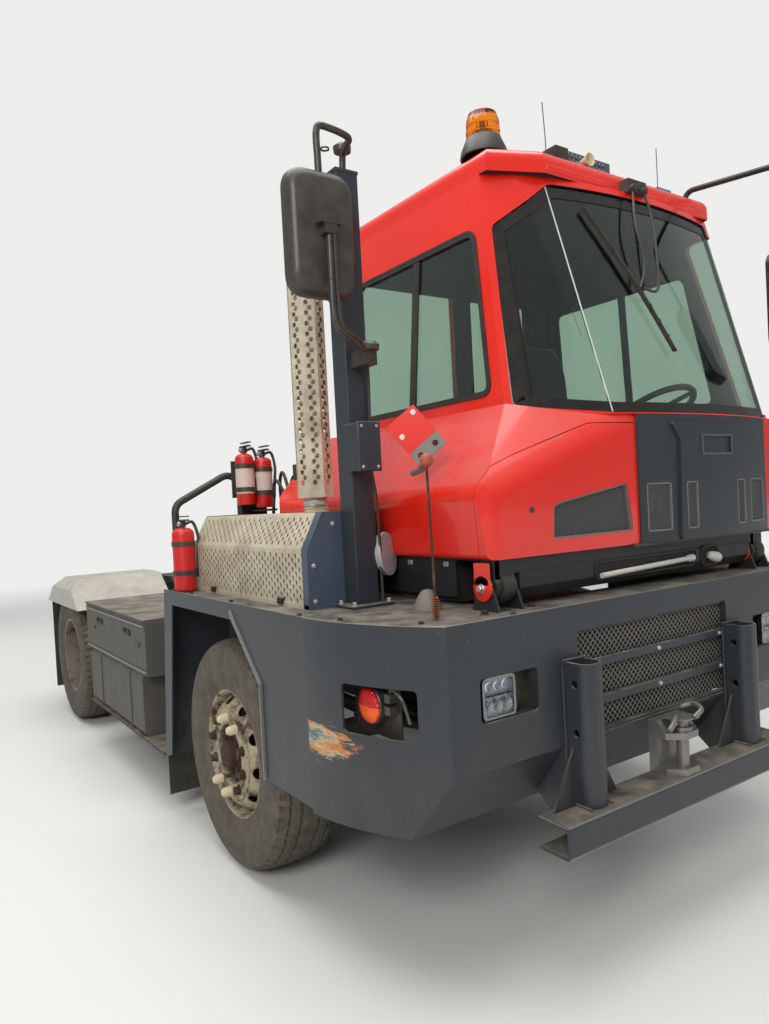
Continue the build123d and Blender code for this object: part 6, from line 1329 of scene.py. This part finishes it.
finish(enamel("pale_grey_fender_enamel", "a9a79c", 0.5, 0.7, chips=0.66, splash_top=1.1), "rear_fenders")


def greased(name):
    """Steel plate under dark grease: glossy streaks along the road over dull metal, thick where a noise is high."""
    material = dull_steel(name, "5a5751", 0.7, 0.6, 0.35, soil="17140f")
    tree, shader, here = parts_of(material)
    drawn = add(tree, "Mapping", {"Vector": here, "Scale": (30, 4, 30)})
    smear = add(tree, "TexNoise", {"Vector": drawn, "Scale": 1.0, "Detail": 5.0})
    gloss = add(tree, "MapRange", {"Value": smear, "From Min": 0.35, "From Max": 0.65, "To Min": 0.18,
                                   "To Max": 0.55})
    join(tree, shader, {"Roughness": gloss})
    return material


finish(greased("greased_coupling_plate"), "fifth_wheel")
box_low, box_high = map(np.array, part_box("battery_box"))
deck_brown = enamel("dusty_brown_boxes", "45433f", 0.5, 1.0, splash_top=1.1)
finish(deck_brown, "battery_box", "fuel_tank")
strip_x = box_low[0] + 0.0045
strips = [box_shape((strip_x - 0.006, box_low[1] + 0.01, z), (strip_x, box_high[1] - 0.01, z + 0.012))
          for z in (0.72, 0.985)]
piece("battery_box_strips", strips, rubbed, "chassis", bevel=0.002)
handles = [box_shape((box_low[0] - 0.004, y, 0.86), (box_low[0] + 0.006, y + 0.09, 0.885))
           for y in (box_low[1] + 0.12, box_high[1] - 0.25)]
piece("battery_box_labels", handles, deck_brown, "chassis", bevel=0.003)
trim = sweep([(-1.2415, AXLE_Y - 0.215, 1.205), (-1.2415, AXLE_Y - 0.24, 1.17), (-1.2415, AXLE_Y - 0.487, 0.936),
              (-1.2415, AXLE_Y - 0.487, 0.552)],
             rectangle(-0.004, -0.010, 0.004, 0.010), reference=TO_LEFT)
piece("arch_edge_trim", trim, rubbed, "chassis")
deck_spots = ((-1.15, -0.98), (-1.02, -1.28), (-0.70, -1.38), (-1.19, -0.75), (-1.19, -0.1), (-1.19, 0.4))
deck_bolts = [hex_nut((x, AXLE_Y + y, DECK_TOP), UP, 0.016, 0.008) for x, y in deck_spots]
deck_bolts += [hex_nut((x, AXLE_Y - 1.3, DECK_TOP), UP, 0.022, 0.014) for x in (-0.76, -0.535)]
piece("deck_bolts", deck_bolts, rusty_iron, "chassis", angle=0.4)
pins = [lathe([(0, 0), (0, 0.026), (0.004, 0.028), (0.016, 0.028), (0.018, 0.02), (0.018, 0)], (side * 0.412, *seat),
              (side, 0, 0), 24)
        for side in (-1, 1) for seat in ((0.35, 0.88), (0.50, 0.53))]
piece("boom_pin_heads", pins, rusty_iron, "chassis")
finish(dull_steel("mirror_left_shell", "1b1c1e", 0.2, 0.0, 0.4), "mirror_left")
left_low, left_high = map(np.array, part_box("mirror_left"))
left_outline = rounded(rectangle(left_low[0] + 0.018, 2.27, left_high[0] - 0.018, 2.68), 0.045, 8)
left_pane = front_plate(left_outline, AXLE_Y - 1.41 + 0.0255, 0.002)
piece("mirror_left_glass", left_pane, mirror_glass, "cab")


# Driver's seat: foam cushion and back in woven black cloth, swelled by a short cloth simulation. They stand on a
# rubber bellows over a plastic base, and two armrests hang on the back. All of it rides on the cab.
SEAT_X, SEAT_Y = 0.620, AXLE_Y - 0.48
PUFF_MOST = 0.022


def cloth_cover(name, colour):
    """Woven seat cloth: a fine check in the surface, dull, with a faint sheen."""
    material, tree, shader, here = surface(name)
    weave = add(tree, "TexChecker", {"Vector": here, "Scale": 260.0, "Color1": linear(colour),
                                     "Color2": linear("2b2d31")})
    bump = add(tree, "Bump", {"Height": weave.node.outputs["Fac"], "Strength": 0.3, "Distance": 0.0006})
    join(tree, shader, {"Base Color": weave, "Roughness": 0.9, "Sheen Weight": 0.3, "Normal": bump})
    return material


def powered(value, power):
    """Power of a value's size, with the value's own sign."""
    return np.sign(value) * np.abs(value) ** power


def pad_shape(centre, wide, long, thick, columns=48, rows=16):
    """Pad about centre on three half axes: centre + r (wide C(u) + long S(u)) + thick T(v). C and S are the cosine
    and sine to the power 0.4, r is cos v to the power 0.45 and T is sin v to the power 0.8, signs kept."""
    u = np.linspace(0, 2 * np.pi, columns, endpoint=False)[:, None, None]
    v = np.linspace(-np.pi / 2, np.pi / 2, rows)[None, :, None]
    r = np.maximum(np.cos(v), 0) ** 0.45
    r[:, [0, -1]] = 0
    around = powered(np.cos(u), 0.4) * np.array(wide) + powered(np.sin(u), 0.4) * np.array(long)
    points = np.array(centre, float) + r * around + powered(np.sin(v), 0.8) * np.array(thick)
    return points.reshape(-1, 3), [grid_faces(columns, rows, wrap_rows=True)]


def puffed(made, most):
    """Swells a pad by cloth under pressure, with no point moved further than most, and smooths it once."""
    scene = bpy.context.scene
    even = made.modifiers.new("even", "REMESH")
    even.mode, even.voxel_size, even.use_smooth_shade = "VOXEL", 0.006, True
    depsgraph = bpy.context.evaluated_depsgraph_get()
    start = bpy.data.meshes.new_from_object(made.evaluated_get(depsgraph))
    made.modifiers.remove(even)
    made.data = start
    rest = np.empty(len(start.vertices) * 3, np.float32)
    start.vertices.foreach_get("co", rest)
    cloth = made.modifiers.new("foam", "CLOTH")
    cloth.settings.use_pressure, cloth.settings.uniform_pressure_force = True, 4.0
    cloth.settings.effector_weights.gravity = 0.0
    cloth.point_cache.frame_start, cloth.point_cache.frame_end = 1, 20
    for step in range(1, 21):
        scene.frame_set(step)
    depsgraph = bpy.context.evaluated_depsgraph_get()
    swelled = bpy.data.meshes.new_from_object(made.evaluated_get(depsgraph))
    made.modifiers.remove(cloth)
    scene.frame_set(1)
    moved = np.empty_like(rest)
    swelled.vertices.foreach_get("co", moved)
    move = (moved - rest).reshape(-1, 3)
    length = np.linalg.norm(move, axis=1, keepdims=True)
    move *= np.minimum(1.0, most / np.maximum(length, 1e-9))
    start.vertices.foreach_set("co", (rest.reshape(-1, 3) + move).astype(np.float32).ravel())
    start.update()
    start.shade_smooth()
    finer = made.modifiers.new("finer", "SUBSURF")
    finer.levels = finer.render_levels = 1
    return made


seat_cloth = cloth_cover("woven_seat_cloth_pad", "141518")
lean = np.array([0.0, 0.10, 0.63]) / np.linalg.norm([0.10, 0.63])
ahead = np.array([0.0, -lean[2], lean[1]])
cushion = pad_shape((SEAT_X, SEAT_Y - 0.02, 1.828), (0.232, 0, 0), (0, 0.232, 0), (0, 0, 0.042))
back = pad_shape((SEAT_X, SEAT_Y + 0.185, 2.185), (0.215, 0, 0), lean * 0.295, ahead * 0.034)
for name, shape, stands_for in (("seat_cushion", cushion, ("seat",)), ("seat_back", back, ())):
    made = puffed(piece(name, shape, seat_cloth, "cab", stands_for), PUFF_MOST)
folds = np.linspace(0, 1, 41)
bellows = [(1.50, 0), *((1.50 + 0.27 * t, 0.172 + 0.012 * np.cos(t * 7 * 2 * np.pi)) for t in folds), (1.77, 0)]
arms = [box_shape((SEAT_X - 0.17, SEAT_Y - 0.19, 1.45), (SEAT_X + 0.17, SEAT_Y + 0.17, 1.51))]
for side in (-1, 1):
    arms.append(pad_shape((SEAT_X + side * 0.272, SEAT_Y + 0.035, 2.0575), (0.026, 0, 0), (0, 0.150, 0),
                          (0, 0, 0.026), 24, 10))
    arms.append(box_shape((SEAT_X + side * 0.2485 - 0.022, SEAT_Y + 0.15, 2.035),
                          (SEAT_X + side * 0.2485 + 0.022, SEAT_Y + 0.185, 2.08)))
piece("seat_bellows", lathe(bellows, (SEAT_X, SEAT_Y, 0), UP, 40), black_rubber, "cab")
piece("seat_arms", arms, black_plastic, "cab")
